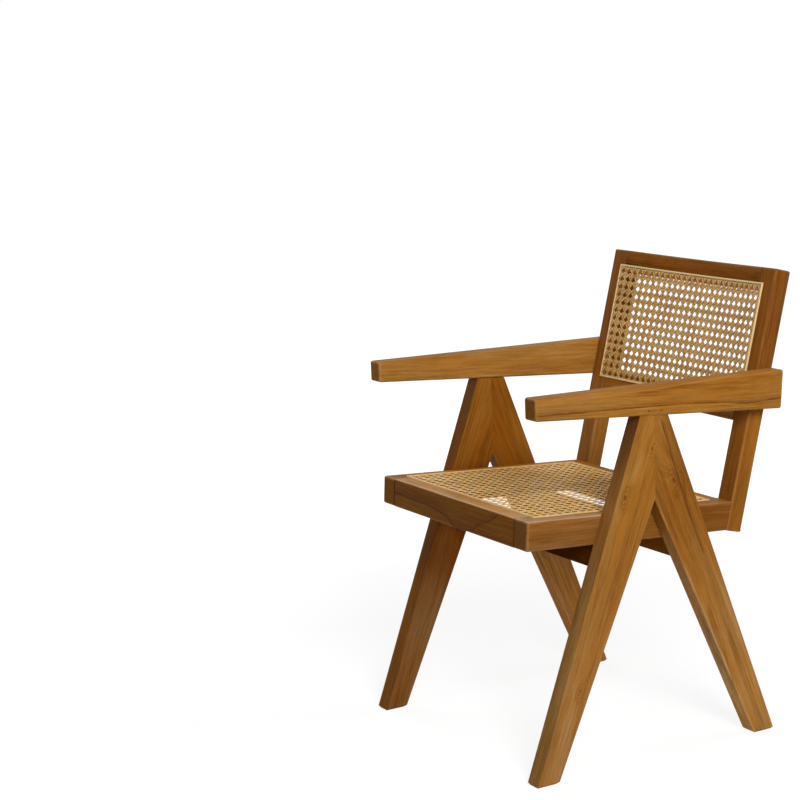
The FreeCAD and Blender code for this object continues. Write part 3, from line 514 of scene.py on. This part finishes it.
def cane_fibre():
    """Peeled cane: fine fibres along the strand, paler and darker lengths, a blush and painted shade at the
    edges.
    """
    takes = {"Along": "Float", "Side": "Float", "Strand": "Float", "Shade": "Color", "Edge": "Float"}
    gives = {"Color": "Color", "Roughness": "Float", "Height": "Float"}
    tree, w, given, out = shader_group("cane_fibre", takes, gives)
    own = w.math("MULTIPLY", given["Strand"], STRAND_APART)
    place = w.join(given["Side"], given["Along"], own)
    fibre = w.noise(place, CANE_FIBRE_RATE, 3, 0.6)[0]
    length = w.noise(place, CANE_LENGTH_RATE)[0]
    tone = w.math("ADD", w.math("MULTIPLY", given["Strand"], 0.75), w.math("MULTIPLY", length, 0.9))
    colour = w.mix(w.between(tone, 0.30, 1.10), DEEP_CANE, PALE_CANE)
    blush = w.between(w.noise(place, CANE_BLUSH_RATE, 1)[0], 0.35, 0.65)
    colour = w.tint(colour, w.mix(blush, PINK_BLUSH, GREEN_BLUSH))
    colour = w.mix(w.between(fibre, 0.35, 0.7, 0.35, 0.0), colour, FIBRE_CANE)
    edge = w.math("MULTIPLY", w.between(w.math("ABSOLUTE", given["Side"]), 0.36, 0.50), given["Edge"])
    colour = w.mix(edge, colour, CANE_EDGE_SHADE)
    w.give(out["Color"], w.tint(colour, given["Shade"]))
    w.give(out["Roughness"], w.between(fibre, 0.3, 0.7, 0.36, 0.52))
    w.give(out["Height"], fibre)
    return tree


def finished(name):
    """A new material: its wiring and its shader."""
    material = bpy.data.materials.new(name)
    material.use_nodes = True
    wiring = Wiring(material.node_tree)
    return material, wiring, material.node_tree.nodes["Principled BSDF"]


def coated(w, shader, group, relief, specular):
    """Give a shader the colour, roughness and relief of a group."""
    bump = w.node("ShaderNodeBump", {
        "Strength": RELIEF_STRENGTH, "Distance": relief, "Height": group.outputs["Height"]})
    w.give(shader.inputs["Base Color"], group.outputs["Color"])
    w.give(shader.inputs["Roughness"], group.outputs["Roughness"])
    w.give(shader.inputs["Normal"], bump.outputs[0])
    shader.inputs["Specular IOR Level"].default_value = specular


def grain_frame(node, along, heart):
    """Turn and shift that put the grain on Z with the heart of the tree at the origin."""
    along = Vector(along).normalized()
    side = Vector((0, 1, 0)) if along.x else ACROSS
    turn = Matrix((side, along.cross(side), along))
    low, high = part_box(node)
    return turn, Vector(heart) * MM - turn @ ((low + high) / 2)


def knotted(w, source, node, turn):
    """The push and the darkness of all the knots of a piece."""
    push, dark = 0.0, 0.0
    for y, z, size in KNOTS.get(node, ()):
        centre = turn @ (Vector((0, y, z)) * MM)
        place = w.node("ShaderNodeMapping", {
            "Vector": source["Object"], "Location": -centre, "Rotation": turn.to_euler("XYZ")})
        knot = w.node("ShaderNodeGroup", node_tree=KNOT)
        w.give(knot.inputs["Place"], place.outputs[0])
        w.give(knot.inputs["Size"], size * MM)
        push = w.math("ADD", push, knot.outputs["Push"])
        dark = w.math("MAXIMUM", dark, knot.outputs["Knot"])
    return push, dark


def drawn_line(w, source, drawing):
    """A thin line through a piece, along points that a smooth curve joins, with a stain on its upper side."""
    plane, points, half_width = drawing
    parts = w.split(source["Object"])
    along, across = (parts["XYZ".index(axis)] for axis in plane)
    runs, heights = zip(*points)
    start, length = runs[0], runs[-1] - runs[0]
    low = min(heights) - LINE_MARGIN
    rise = max(heights) + LINE_MARGIN - low
    spans = {0: along, 1: start * MM, 2: runs[-1] * MM, 3: 0.0, 4: 1.0}
    share = w.node("ShaderNodeMapRange", spans).outputs[0]
    curve = w.node("ShaderNodeFloatCurve", {"Value": share})
    line = curve.mapping.curves[0]
    spots = [((run - start) / length, (height - low) / rise) for run, height in points]
    line.points[0].location = spots[0]
    line.points[1].location = spots[-1]
    for spot in spots[1:-1]:
        line.points.new(*spot)
    curve.mapping.update()
    level = w.math("ADD", w.math("MULTIPLY", curve.outputs[0], rise * MM), low * MM)
    shake = w.math("SUBTRACT", w.noise(source["Object"], SHAKE_RATE, 3)[0], 0.5)
    off = w.math("SUBTRACT", across, w.math("ADD", level, w.math("MULTIPLY", shake, LINE_SHAKE)))
    core = w.between(w.math("ABSOLUTE", off), 0.2 * half_width * MM, half_width * MM, 1.0, 0.0)
    above = w.between(off, -half_width * MM, 0.0)
    stain = w.math("MULTIPLY", above, w.between(off, 0.0, STAIN_REACH * half_width * MM, STAIN_DEPTH, 0.0))
    broken = w.between(w.noise(source["Object"], BREAK_RATE)[0], 0.36, 0.56, 0.6, 1.0)
    within = w.math(
        "MULTIPLY", w.between(share, 0.0, LINE_FADE), w.between(share, 1.0 - LINE_FADE, 1.0, 1.0, 0.0))
    return w.math("MULTIPLY", within, w.math("MAXIMUM", w.math("MULTIPLY", core, broken), stain))


def changing(w, source, tone, changes):
    """A tone that changes along a piece: each change gives the tone that comes before it."""
    for axis, start, end, before in changes:
        passed = w.between(w.split(source["Object"])["XYZ".index(axis)], start * MM, end * MM)
        tone = w.mix(passed, before, tone)
    return tone


def teak(node, along, heart, tone):
    """Oiled teak cut from its own place in the tree."""
    material, w, shader = finished(f"teak_{node}")
    turn, shift = grain_frame(node, along, heart)
    source = w.node("ShaderNodeTexCoord").outputs
    angles = turn.to_euler("XYZ")
    place = w.node("ShaderNodeMapping", {
        "Vector": source["Object"], "Location": shift, "Rotation": angles})
    facing = w.node("ShaderNodeMapping", {
        "Vector": source["Normal"], "Rotation": angles}, vector_type="VECTOR")
    arris = w.node("ShaderNodeAttribute", attribute_name="arris").outputs["Fac"]
    push, dark = knotted(w, source, node, turn)
    # The tones along the piece and on its faces carry painted light and shade.
    tone = changing(w, source, tone, LENGTH_TONES.get(node, ()))
    for way, face_tone, changes in FACE_TONES.get(node, ()):
        facing_way = w.node("ShaderNodeVectorMath", {0: source["Normal"], 1: way}, operation="DOT_PRODUCT")
        face_tone = changing(w, source, face_tone, changes)
        tone = w.mix(w.between(facing_way.outputs["Value"], FACE_FROM, FACE_TO), tone, face_tone)
    grain = w.node("ShaderNodeGroup", node_tree=GRAIN)
    values = {
        "Place": place.outputs[0], "Facing": facing.outputs[0], "Arris": arris, "Shade": tone,
        "Drift": GRAIN_DRIFT, "Push": push, "Knot": dark,
    }
    for socket, drawings in (("Dark Line", DARK_LINES), ("Pale Line", PALE_LINES)):
        if node in drawings:
            values[socket] = drawn_line(w, source, drawings[node])
    for socket, value in values.items():
        w.give(grain.inputs[socket], value)
    coated(w, shader, grain, GRAIN_RELIEF, BEAM_SPECULAR if "beam" in node else TEAK_SPECULAR)
    return material


def cane(name, gloss, edge, shade, changes=()):
    """Peeled cane, read from each strand's own attributes."""
    material, w, shader = finished(name)
    shade = changing(w, w.node("ShaderNodeTexCoord").outputs, shade, changes)
    fibre = w.node("ShaderNodeGroup", node_tree=FIBRE)
    for socket, attribute in (("Along", "along"), ("Side", "side"), ("Strand", "strand")):
        w.give(fibre.inputs[socket], w.node("ShaderNodeAttribute", attribute_name=attribute).outputs["Fac"])
    w.give(fibre.inputs["Shade"], shade)
    w.give(fibre.inputs["Edge"], edge)
    coated(w, shader, fibre, CANE_RELIEF, CANE_SPECULAR)
    shader.inputs["Coat Weight"].default_value = gloss
    shader.inputs["Coat Roughness"].default_value = CANE_COAT_ROUGHNESS
    return material


def shown(name, mesh, slot, *nodes):
    """Put a finished mesh in the scene in place of CAD nodes."""
    piece = bpy.data.objects.new(name, mesh)
    bpy.context.scene.collection.objects.link(piece)
    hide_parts(*nodes)
    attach(piece, "root")
    return piece


def evaluated_mesh(piece):
    """The mesh that an object's modifiers make. The object itself goes."""
    bpy.context.scene.collection.objects.link(piece)
    evaluated = piece.evaluated_get(bpy.context.evaluated_depsgraph_get())
    mesh = bpy.data.meshes.new_from_object(evaluated)
    bpy.data.objects.remove(piece)
    return mesh


def outer_faces(bm):
    """Faces that have the whole piece on their inner side."""
    return {
        face for face in bm.faces
        if all((vert.co - face.verts[0].co).dot(face.normal) < FLAT_SLACK for vert in bm.verts)
    }


def arrises(bm, along, bowed, ends, joint):
    """The edges that a maker eases: the long ones outside the joint, and those round the ends, -1 and 1."""
    outer = outer_faces(bm)
    found = []
    for edge in bm.edges:
        if len(edge.link_faces) != 2 or not edge.is_convex or edge.calc_face_angle() < ARRIS_ANGLE:
            continue
        outside = sum(face in outer for face in edge.link_faces)
        run = (edge.verts[0].co - edge.verts[1].co).normalized()
        open_edge = max(abs(vert.co.x) for vert in edge.verts) > joint
        long_edge = open_edge and abs(run.dot(along)) > ALONG_GRAIN and outside >= (1 if bowed else 2)
        end_edge = any(
            face in outer and end * face.normal.dot(along) > END_FACING
            for face in edge.link_faces for end in ends)
        if long_edge or end_edge:
            found.append(edge)
    return found


def eased_timber(node, along, ends, radius, wear_and_glint):
    """A copy of a CAD piece with its arrises rounded over and marked for wear, painted highlight and painted
    shade.
    """
    bm = bmesh.new()
    bm.from_mesh(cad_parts[node].data)
    bmesh.ops.remove_doubles(bm, verts=bm.verts, dist=WELD)
    bmesh.ops.dissolve_limit(bm, angle_limit=FLAT_ANGLE, verts=bm.verts, edges=bm.edges)
    arris_marks = bm.faces.layers.float.new("arris")
    joint = SEAT_JOINT if node in JOINT_SHADE else 0.0
    edges = arrises(bm, Vector(along).normalized(), node in BOWED, ends, joint)
    eased = bmesh.ops.bevel(
        bm, geom=edges, offset=radius, offset_type="OFFSET", segments=ARRIS_STEPS, profile=0.5,
        affect="EDGES", clamp_overlap=False,
    )
    # The eased faces carry painted shade in the seat joint and at the floor, and wear with a painted
    # highlight elsewhere.
    for face in eased["faces"]:
        middle = face.calc_center_median()
        if abs(middle.x) < joint:
            face[arris_marks] = JOINT_SHADE[node]
        elif middle.z < ARRIS_ROUND:
            face[arris_marks] = FOOT_SHADE
        else:
            face[arris_marks] = wear_and_glint
    for face in bm.faces:
        face.smooth = True
    mesh = bpy.data.meshes.new(f"{node}_timber")
    bm.to_mesh(mesh)
    bm.free()
    mesh.set_sharp_from_angle(angle=SHARP_TIMBER)
    return mesh


def even_normals(mesh):
    """The same mesh with its normals weighted to the large flats."""
    piece = bpy.data.objects.new(mesh.name, mesh)
    weighted = piece.modifiers.new("flats", "WEIGHTED_NORMAL")
    weighted.keep_sharp = True
    weighted.weight = 100
    even = evaluated_mesh(piece)
    even.name = f"{mesh.name}_even"
    return even


def bow(x):
    """How far the back rails stand behind their ends at x."""
    inside = min(abs(x), BOW_HALF)
    return math.sqrt(BOW_RADIUS ** 2 - inside ** 2) - BOW_RADIUS + BOW_SAG


def on_seat(x, along, up):
    """A point of the seat, from its front edge and its top."""
    return SEAT_FRONT + ACROSS * x + SEAT_ALONG * along + SEAT_UP * up


def on_back(x, along, out):
    """A point of the back, from the foot of its posts and its bowed front."""
    return BACK_FOOT + ACROSS * x + BACK_ALONG * along + BACK_REAR * (bow(x) - out)


def spline_strip(name, ring, surface):
    """A rounded strip of reed round a frame, mitred at its corners."""
    half, low, high = ring
    profile = []
    for step in range(CROWN_STEPS + 1):
        angle = math.pi * step / CROWN_STEPS
        rise = math.sin(angle) ** SPLINE_CROWN
        profile.append((-math.cos(angle) * SPLINE_WIDTH / 2, rise * SPLINE_PROUD))
    profile += [(SPLINE_WIDTH / 2, -SPLINE_SINK), (-SPLINE_WIDTH / 2, -SPLINE_SINK)]
    middle = (low + high) / 2
    reach = (high - low) / 2
    steps = [-1 + 2 * step / SIDE_PIECES for step in range(SIDE_PIECES)]
    walk = [(step, -1) for step in steps] + [(1, step) for step in steps]
    walk += [(-step, 1) for step in steps] + [(-1, -step) for step in steps]
    bm = bmesh.new()
    along = bm.verts.layers.float.new("along")
    side = bm.verts.layers.float.new("side")
    strand = bm.faces.layers.float.new("strand")
    loops = []
    for index, (across, up) in enumerate(walk):
        loop = []
        for offset, rise in profile:
            vert = bm.verts.new(surface(across * (half + offset), middle + up * (reach + offset), rise))
            vert[along] = index * PIECE_RUN
            vert[side] = offset / SPLINE_WIDTH * REED_SIDE
            loop.append(vert)
        loops.append(loop)
    for index, loop in enumerate(loops):
        following = loops[(index + 1) % len(loops)]
        for step in range(len(profile)):
            after = (step + 1) % len(profile)
            face = bm.faces.new((loop[step], loop[after], following[after], following[step]))
            face[strand] = REED_TONE + REED_TONE_STEP * (index // SIDE_PIECES)
            face.smooth = True
    bmesh.ops.recalc_face_normals(bm, faces=bm.faces)
    mesh = bpy.data.meshes.new(name)
    bm.to_mesh(mesh)
    bm.free()
    mesh.set_sharp_from_angle(angle=SHARP_REED)
    return mesh


def weave_tree():
    """Six-way cane weave, flat on XY: pairs of strands two ways, and two diagonals locked through them."""
    tree = bpy.data.node_groups.new("six_way_cane", "GeometryNodeTree")
    for socket, kind in (
        ("Columns", "Int"), ("Rows", "Int"), ("Column Pitch", "Float"), ("Row Pitch", "Float"),
        ("Strand Width", "Float"), ("Diagonal Width", "Float"), ("Strand Thickness", "Float"),
        ("Pair Spacing", "Float"), ("Half Across", "Float"), ("Half Along", "Float"),
        ("Seed", "Int"), ("Cane", "Material"),
    ):
        tree.interface.new_socket(socket, in_out="INPUT", socket_type=f"NodeSocket{kind}")
    tree.interface.new_socket("Weave", in_out="OUTPUT", socket_type="NodeSocketGeometry")
    w = Wiring(tree)
    given = w.node("NodeGroupInput").outputs
    thick = given["Strand Thickness"]
    spacing = given["Pair Spacing"]
    join = w.node("GeometryNodeJoinGeometry")

    def strand(width, rows, pitch, steps, wave):
        """One strand along Y from the origin, its top drawn in and its run lifted by a wave."""
        length = w.math("MULTIPLY", rows, pitch)
        count = w.math("ADD", w.math("MULTIPLY", rows, steps), 1)
        box = w.node("GeometryNodeMeshCube", {
            "Size": w.join(width, length, thick), "Vertices X": 2, "Vertices Y": count, "Vertices Z": 2})
        x, y, z = w.split(w.node("GeometryNodeInputPosition").outputs[0])
        run = w.math("ADD", y, w.math("MULTIPLY", length, 0.5))
        drawn = w.math("SUBTRACT", 1, w.math("MULTIPLY", w.math("GREATER_THAN", z, 0), TOP_DRAWN_IN))
        kept = box.outputs[0]
        for name, value in (("along", run), ("side", w.math("DIVIDE", x, width))):
            kept = w.node("GeometryNodeStoreNamedAttribute", {
                "Geometry": kept, "Name": name, "Value": value}, data_type="FLOAT").outputs[0]
        slide, lift = wave(w.math("DIVIDE", run, pitch), pitch)
        place = w.join(w.math("MULTIPLY", x, drawn), w.math("ADD", run, slide), w.math("ADD", z, lift))
        return w.node("GeometryNodeSetPosition", {"Geometry": kept, "Position": place}).outputs[0]

    def lay(geometry, count, start, step, number):
        """Copies of a strand along a line, each with its own tone."""
        line = w.node("GeometryNodeMeshLine", {"Count": count, "Start Location": start, "Offset": step})
        laid = w.node("GeometryNodeInstanceOnPoints", {"Points": line.outputs[0], "Instance": geometry})
        seed = w.math("ADD", given["Seed"], number)
        tone = w.node("FunctionNodeRandomValue", {"Seed": seed}, data_type="FLOAT")
        named = w.node("GeometryNodeStoreNamedAttribute", {
            "Geometry": laid.outputs[0], "Name": "strand", "Value": tone.outputs[1]},
            data_type="FLOAT", domain="INSTANCE")
        w.tree.links.new(named.outputs[0], join.inputs[0])

    def plain_wave(sign):
        """Over one strand of a crossing pair and under the other, and level between crossings."""
        def wave(turns, pitch):
            near = w.math("WRAP", turns, 0.5, -0.5)
            close = w.math("LESS_THAN", w.math("ABSOLUTE", near), CROSSING_REACH)
            swing = w.math("MULTIPLY", w.math("SINE", w.math("MULTIPLY", near, 4 * math.pi)), close)
            closer = w.math("SUBTRACT", w.math("MULTIPLY", spacing, 0.5), w.math("DIVIDE", pitch, 8))
            lift = w.math("MULTIPLY", thick, sign * 0.5)
            return w.math("MULTIPLY", swing, closer), w.math("MULTIPLY", swing, lift)
        return wave

    def diagonal_wave(sign):
        """Above every pair one way and below every pair the other way."""
        def wave(turns, pitch):
            swing = w.math("SINE", w.math("ADD", w.math("MULTIPLY", turns, 2 * math.pi), math.pi / 4))
            return 0.0, w.math("MULTIPLY", swing, w.math("MULTIPLY", thick, sign * math.sqrt(2)))
        return wave

    columns, rows = given["Columns"], given["Rows"]
    wide, tall = given["Column Pitch"], given["Row Pitch"]
    left = w.math("MULTIPLY", w.math("MULTIPLY", columns, wide), -0.5)
    low = w.math("MULTIPLY", w.math("MULTIPLY", rows, tall), -0.5)
    for number, sign in ((1, -1), (2, 1)):
        upright = strand(given["Strand Width"], rows, tall, PLAIN_STEPS, plain_wave(sign))
        beside = w.math("ADD", left, w.math("MULTIPLY", spacing, sign / 2))
        lay(upright, w.math("ADD", columns, 1), w.join(beside, low, 0), w.join(wide, 0, 0), number)
    for number, sign in ((3, -1), (4, 1)):
        level = strand(given["Strand Width"], columns, wide, PLAIN_STEPS, plain_wave(sign))
        turned = w.node("GeometryNodeTransform", {
            "Geometry": level, "Rotation": Euler((0, 0, -math.pi / 2))})
        above = w.math("ADD", low, w.math("MULTIPLY", spacing, -sign / 2))
        lay(turned.outputs[0], w.math("ADD", rows, 1), w.join(left, above, 0), w.join(0, tall, 0), number)
    for number, sign in ((5, -1), (6, 1)):
        longer = w.math("ADD", rows, 1)
        slant = strand(given["Diagonal Width"], longer, tall, DIAGONAL_STEPS, diagonal_wave(sign))
        x, y, z = w.split(w.node("GeometryNodeInputPosition").outputs[0])
        lean = w.math("DIVIDE", w.math("MULTIPLY", wide, sign), tall)
        leant_x = w.math("ADD", w.math("MULTIPLY", x, math.sqrt(2)), w.math("MULTIPLY", y, lean))
        leant = w.node("GeometryNodeSetPosition", {"Geometry": slant, "Position": w.join(leant_x, y, z)})
        start_y = w.math("SUBTRACT", low, w.math("MULTIPLY", tall, 1 / 8))
        backed = w.math("MULTIPLY", longer, wide) if sign > 0 else 0.0
        shift = w.math("MULTIPLY", wide, 0.5 - sign / 8)
        start_x = w.math("ADD", w.math("SUBTRACT", left, backed), shift)
        count = w.math("ADD", w.math("ADD", columns, rows), 2)
        lay(leant.outputs[0], count, w.join(start_x, start_y, 0), w.join(wide, 0, 0), number)

    whole = w.node("GeometryNodeRealizeInstances", {0: join.outputs[0]})
    x, y, _ = w.split(w.node("GeometryNodeInputPosition").outputs[0])
    past_side = w.math("GREATER_THAN", w.math("ABSOLUTE", x), given["Half Across"])
    past_end = w.math("GREATER_THAN", w.math("ABSOLUTE", y), given["Half Along"])
    trimmed = w.node("GeometryNodeDeleteGeometry", {
        "Geometry": whole.outputs[0], "Selection": w.math("MAXIMUM", past_side, past_end)}, domain="FACE")
    smooth = w.node("GeometryNodeSetShadeSmooth", {0: trimmed.outputs[0]})
    dressed = w.node("GeometryNodeSetMaterial", {"Geometry": smooth.outputs[0], "Material": given["Cane"]})
    w.node("NodeGroupOutput", {0: dressed.outputs[0]})
    return tree


def woven(name, tree, weave, finish, ring, surface, drop):
    """Weave a flat panel that fills a ring, make it a plain mesh and lay it on its surface."""
    half, low, high = ring
    sizes = {**weave, "Half Across": half, "Half Along": (high - low) / 2, "Cane": finish}
    holder = bpy.data.objects.new(name, bpy.data.meshes.new(f"{name}_start"))
    weaving = holder.modifiers.new("weave", "NODES")
    weaving.node_group = tree
    for item in tree.interface.items_tree:
        if item.in_out == "INPUT":
            weaving[item.identifier] = sizes[item.name]
    mesh = evaluated_mesh(holder)
    mesh.name = name
    for vert in mesh.vertices:
        x, y, z = vert.co
        vert.co = surface(x, (low + high) / 2 - drop + y, WEB_LIFT + z)
    mesh.update()
    return mesh


def pale_floor():
    """A pale floor that fades into white."""
    reach = FLOOR_REACH
    floor_mesh = bpy.data.meshes.new("floor")
    floor_mesh.from_pydata(
        [(-reach, -reach, 0), (reach, -reach, 0), (reach, reach, 0), (-reach, reach, 0)], [], [(0, 1, 2, 3)])
    floor = bpy.data.objects.new("floor", floor_mesh)
    bpy.context.scene.collection.objects.link(floor)
    paint, w, shader = finished("floor_paint")
    shader.inputs["Roughness"].default_value = FLOOR_ROUGHNESS
    shader.inputs["Specular IOR Level"].default_value = 0.0
    shader.inputs["Emission Color"].default_value = WHITE
    place = w.node("ShaderNodeTexCoord").outputs["Object"]
    seen, straight = w.bright_rays()
    pale = w.mix(w.noise(place, FLOOR_MOTTLE_RATE)[0], *FLOOR_TONES)
    w.give(shader.inputs["Base Color"], w.mix(straight, pale, FLOOR_SEEN))
    glow = w.between(w.length(place), *FLOOR_GLOW)
    w.give(shader.inputs["Emission Strength"], w.math("MULTIPLY", seen, glow))
    floor_mesh.materials.append(paint)


def white_world():
    """A world that is white to the camera and gives a little light."""
    world = bpy.data.worlds.new("studio")
    bpy.context.scene.world = world
    world.use_nodes = True
    w = Wiring(world.node_tree)
    backdrop = world.node_tree.nodes["Background"]
    backdrop.inputs["Color"].default_value = WHITE
    w.give(backdrop.inputs["Strength"], w.between(w.bright_rays()[0], 0.0, 1.0, SKY_LIGHT, 1.0))


def lamp(name, place, size, watts):
    """A square soft light."""
    light = bpy.data.lights.new(name, "AREA")
    light.size = size
    light.energy = watts
    made = bpy.data.objects.new(name, light)
    made.location = place
    made.visible_camera = False
    made.rotation_euler = (LAMP_AIM - Vector(place)).to_track_quat("-Z", "Y").to_euler()
    bpy.context.scene.collection.objects.link(made)


def still_camera():
    """The camera of the photograph."""
    camera = bpy.data.objects.new("camera", bpy.data.cameras.new("camera"))
    camera.data.sensor_width = CAMERA_SENSOR
    camera.data.lens = CAMERA_LENS
    camera.location = CAMERA_PLACE
    camera.rotation_euler = [math.radians(angle) for angle in CAMERA_TURN]
    bpy.context.scene.collection.objects.link(camera)
    bpy.context.scene.camera = camera


GRAIN = teak_grain()
KNOT = teak_knot()
FIBRE = cane_fibre()

# Cane finishes: the gloss of the coat, how strong the painted shade at the strand edges is, the tone, and
# where the tone changes.
# Painted light on the seat: it is lighter towards the rear, against the shade of the back and the arms.
SEAT_CANE = cane("seat_woven_cane", 0.05, 0.45, (1.64, 1.50, 1.24), (("Y", -90, 60, (1.38, 1.32, 1.19)),))
BACK_CANE = cane("back_woven_cane", 0.03, 0.95, (0.98, 0.88, 0.72))
SEAT_REED = cane("seat_reed", 0.04, 0.85, (0.88, 0.81, 0.76))
BACK_REED = cane("back_reed", 0.04, 0.85, (0.94, 0.98, 1.14))

for node, (along, heart, tone) in TIMBER.items():
    kind = node.rsplit("_", 1)[0].removesuffix("_rail")
    radius = BROAD_ROUNDS.get(kind, ARRIS_ROUND)
    ends = OPEN_ENDS.get(kind, ())
    timber = even_normals(eased_timber(node, along, ends, radius, ARRIS_WEAR_AND_GLINT.get(kind, 1.0)))
    timber.materials.append(teak(node, along, heart, tone))
    shown(f"{node}_eased", timber, "teak", node)

for node, (along, heart, tone) in HIDDEN_TIMBER.items():
    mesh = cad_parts[node].data
    mesh.materials.clear()
    mesh.materials.append(teak(node, along, heart, tone))

six_way = weave_tree()
seat_web = woven("seat_weave", six_way, SEAT_WEAVE, SEAT_CANE, SEAT_RING, on_seat, 0.0)
shown("seat_weave", seat_web, "cane", "seat_cane")
back_web = woven("back_weave", six_way, BACK_WEAVE, BACK_CANE, BACK_RING, on_back, BACK_WEB_DROP)
shown("back_weave", back_web, "cane", "back_cane")

for name, ring, surface, node, finish in (
    ("seat_spline_reed", SEAT_RING, on_seat, "seat_cane_spline", SEAT_REED),
    ("back_spline_reed", BACK_RING, on_back, "back_cane_spline", BACK_REED),
):
    reed = spline_strip(name, ring, surface)
    reed.materials.append(finish)
    shown(name, reed, "spline", node)

pale_floor()
white_world()
for name, (place, size, watts) in LAMPS.items():
    lamp(name, place, size, watts)
still_camera()
bpy.context.scene.view_settings.view_transform = "Standard"
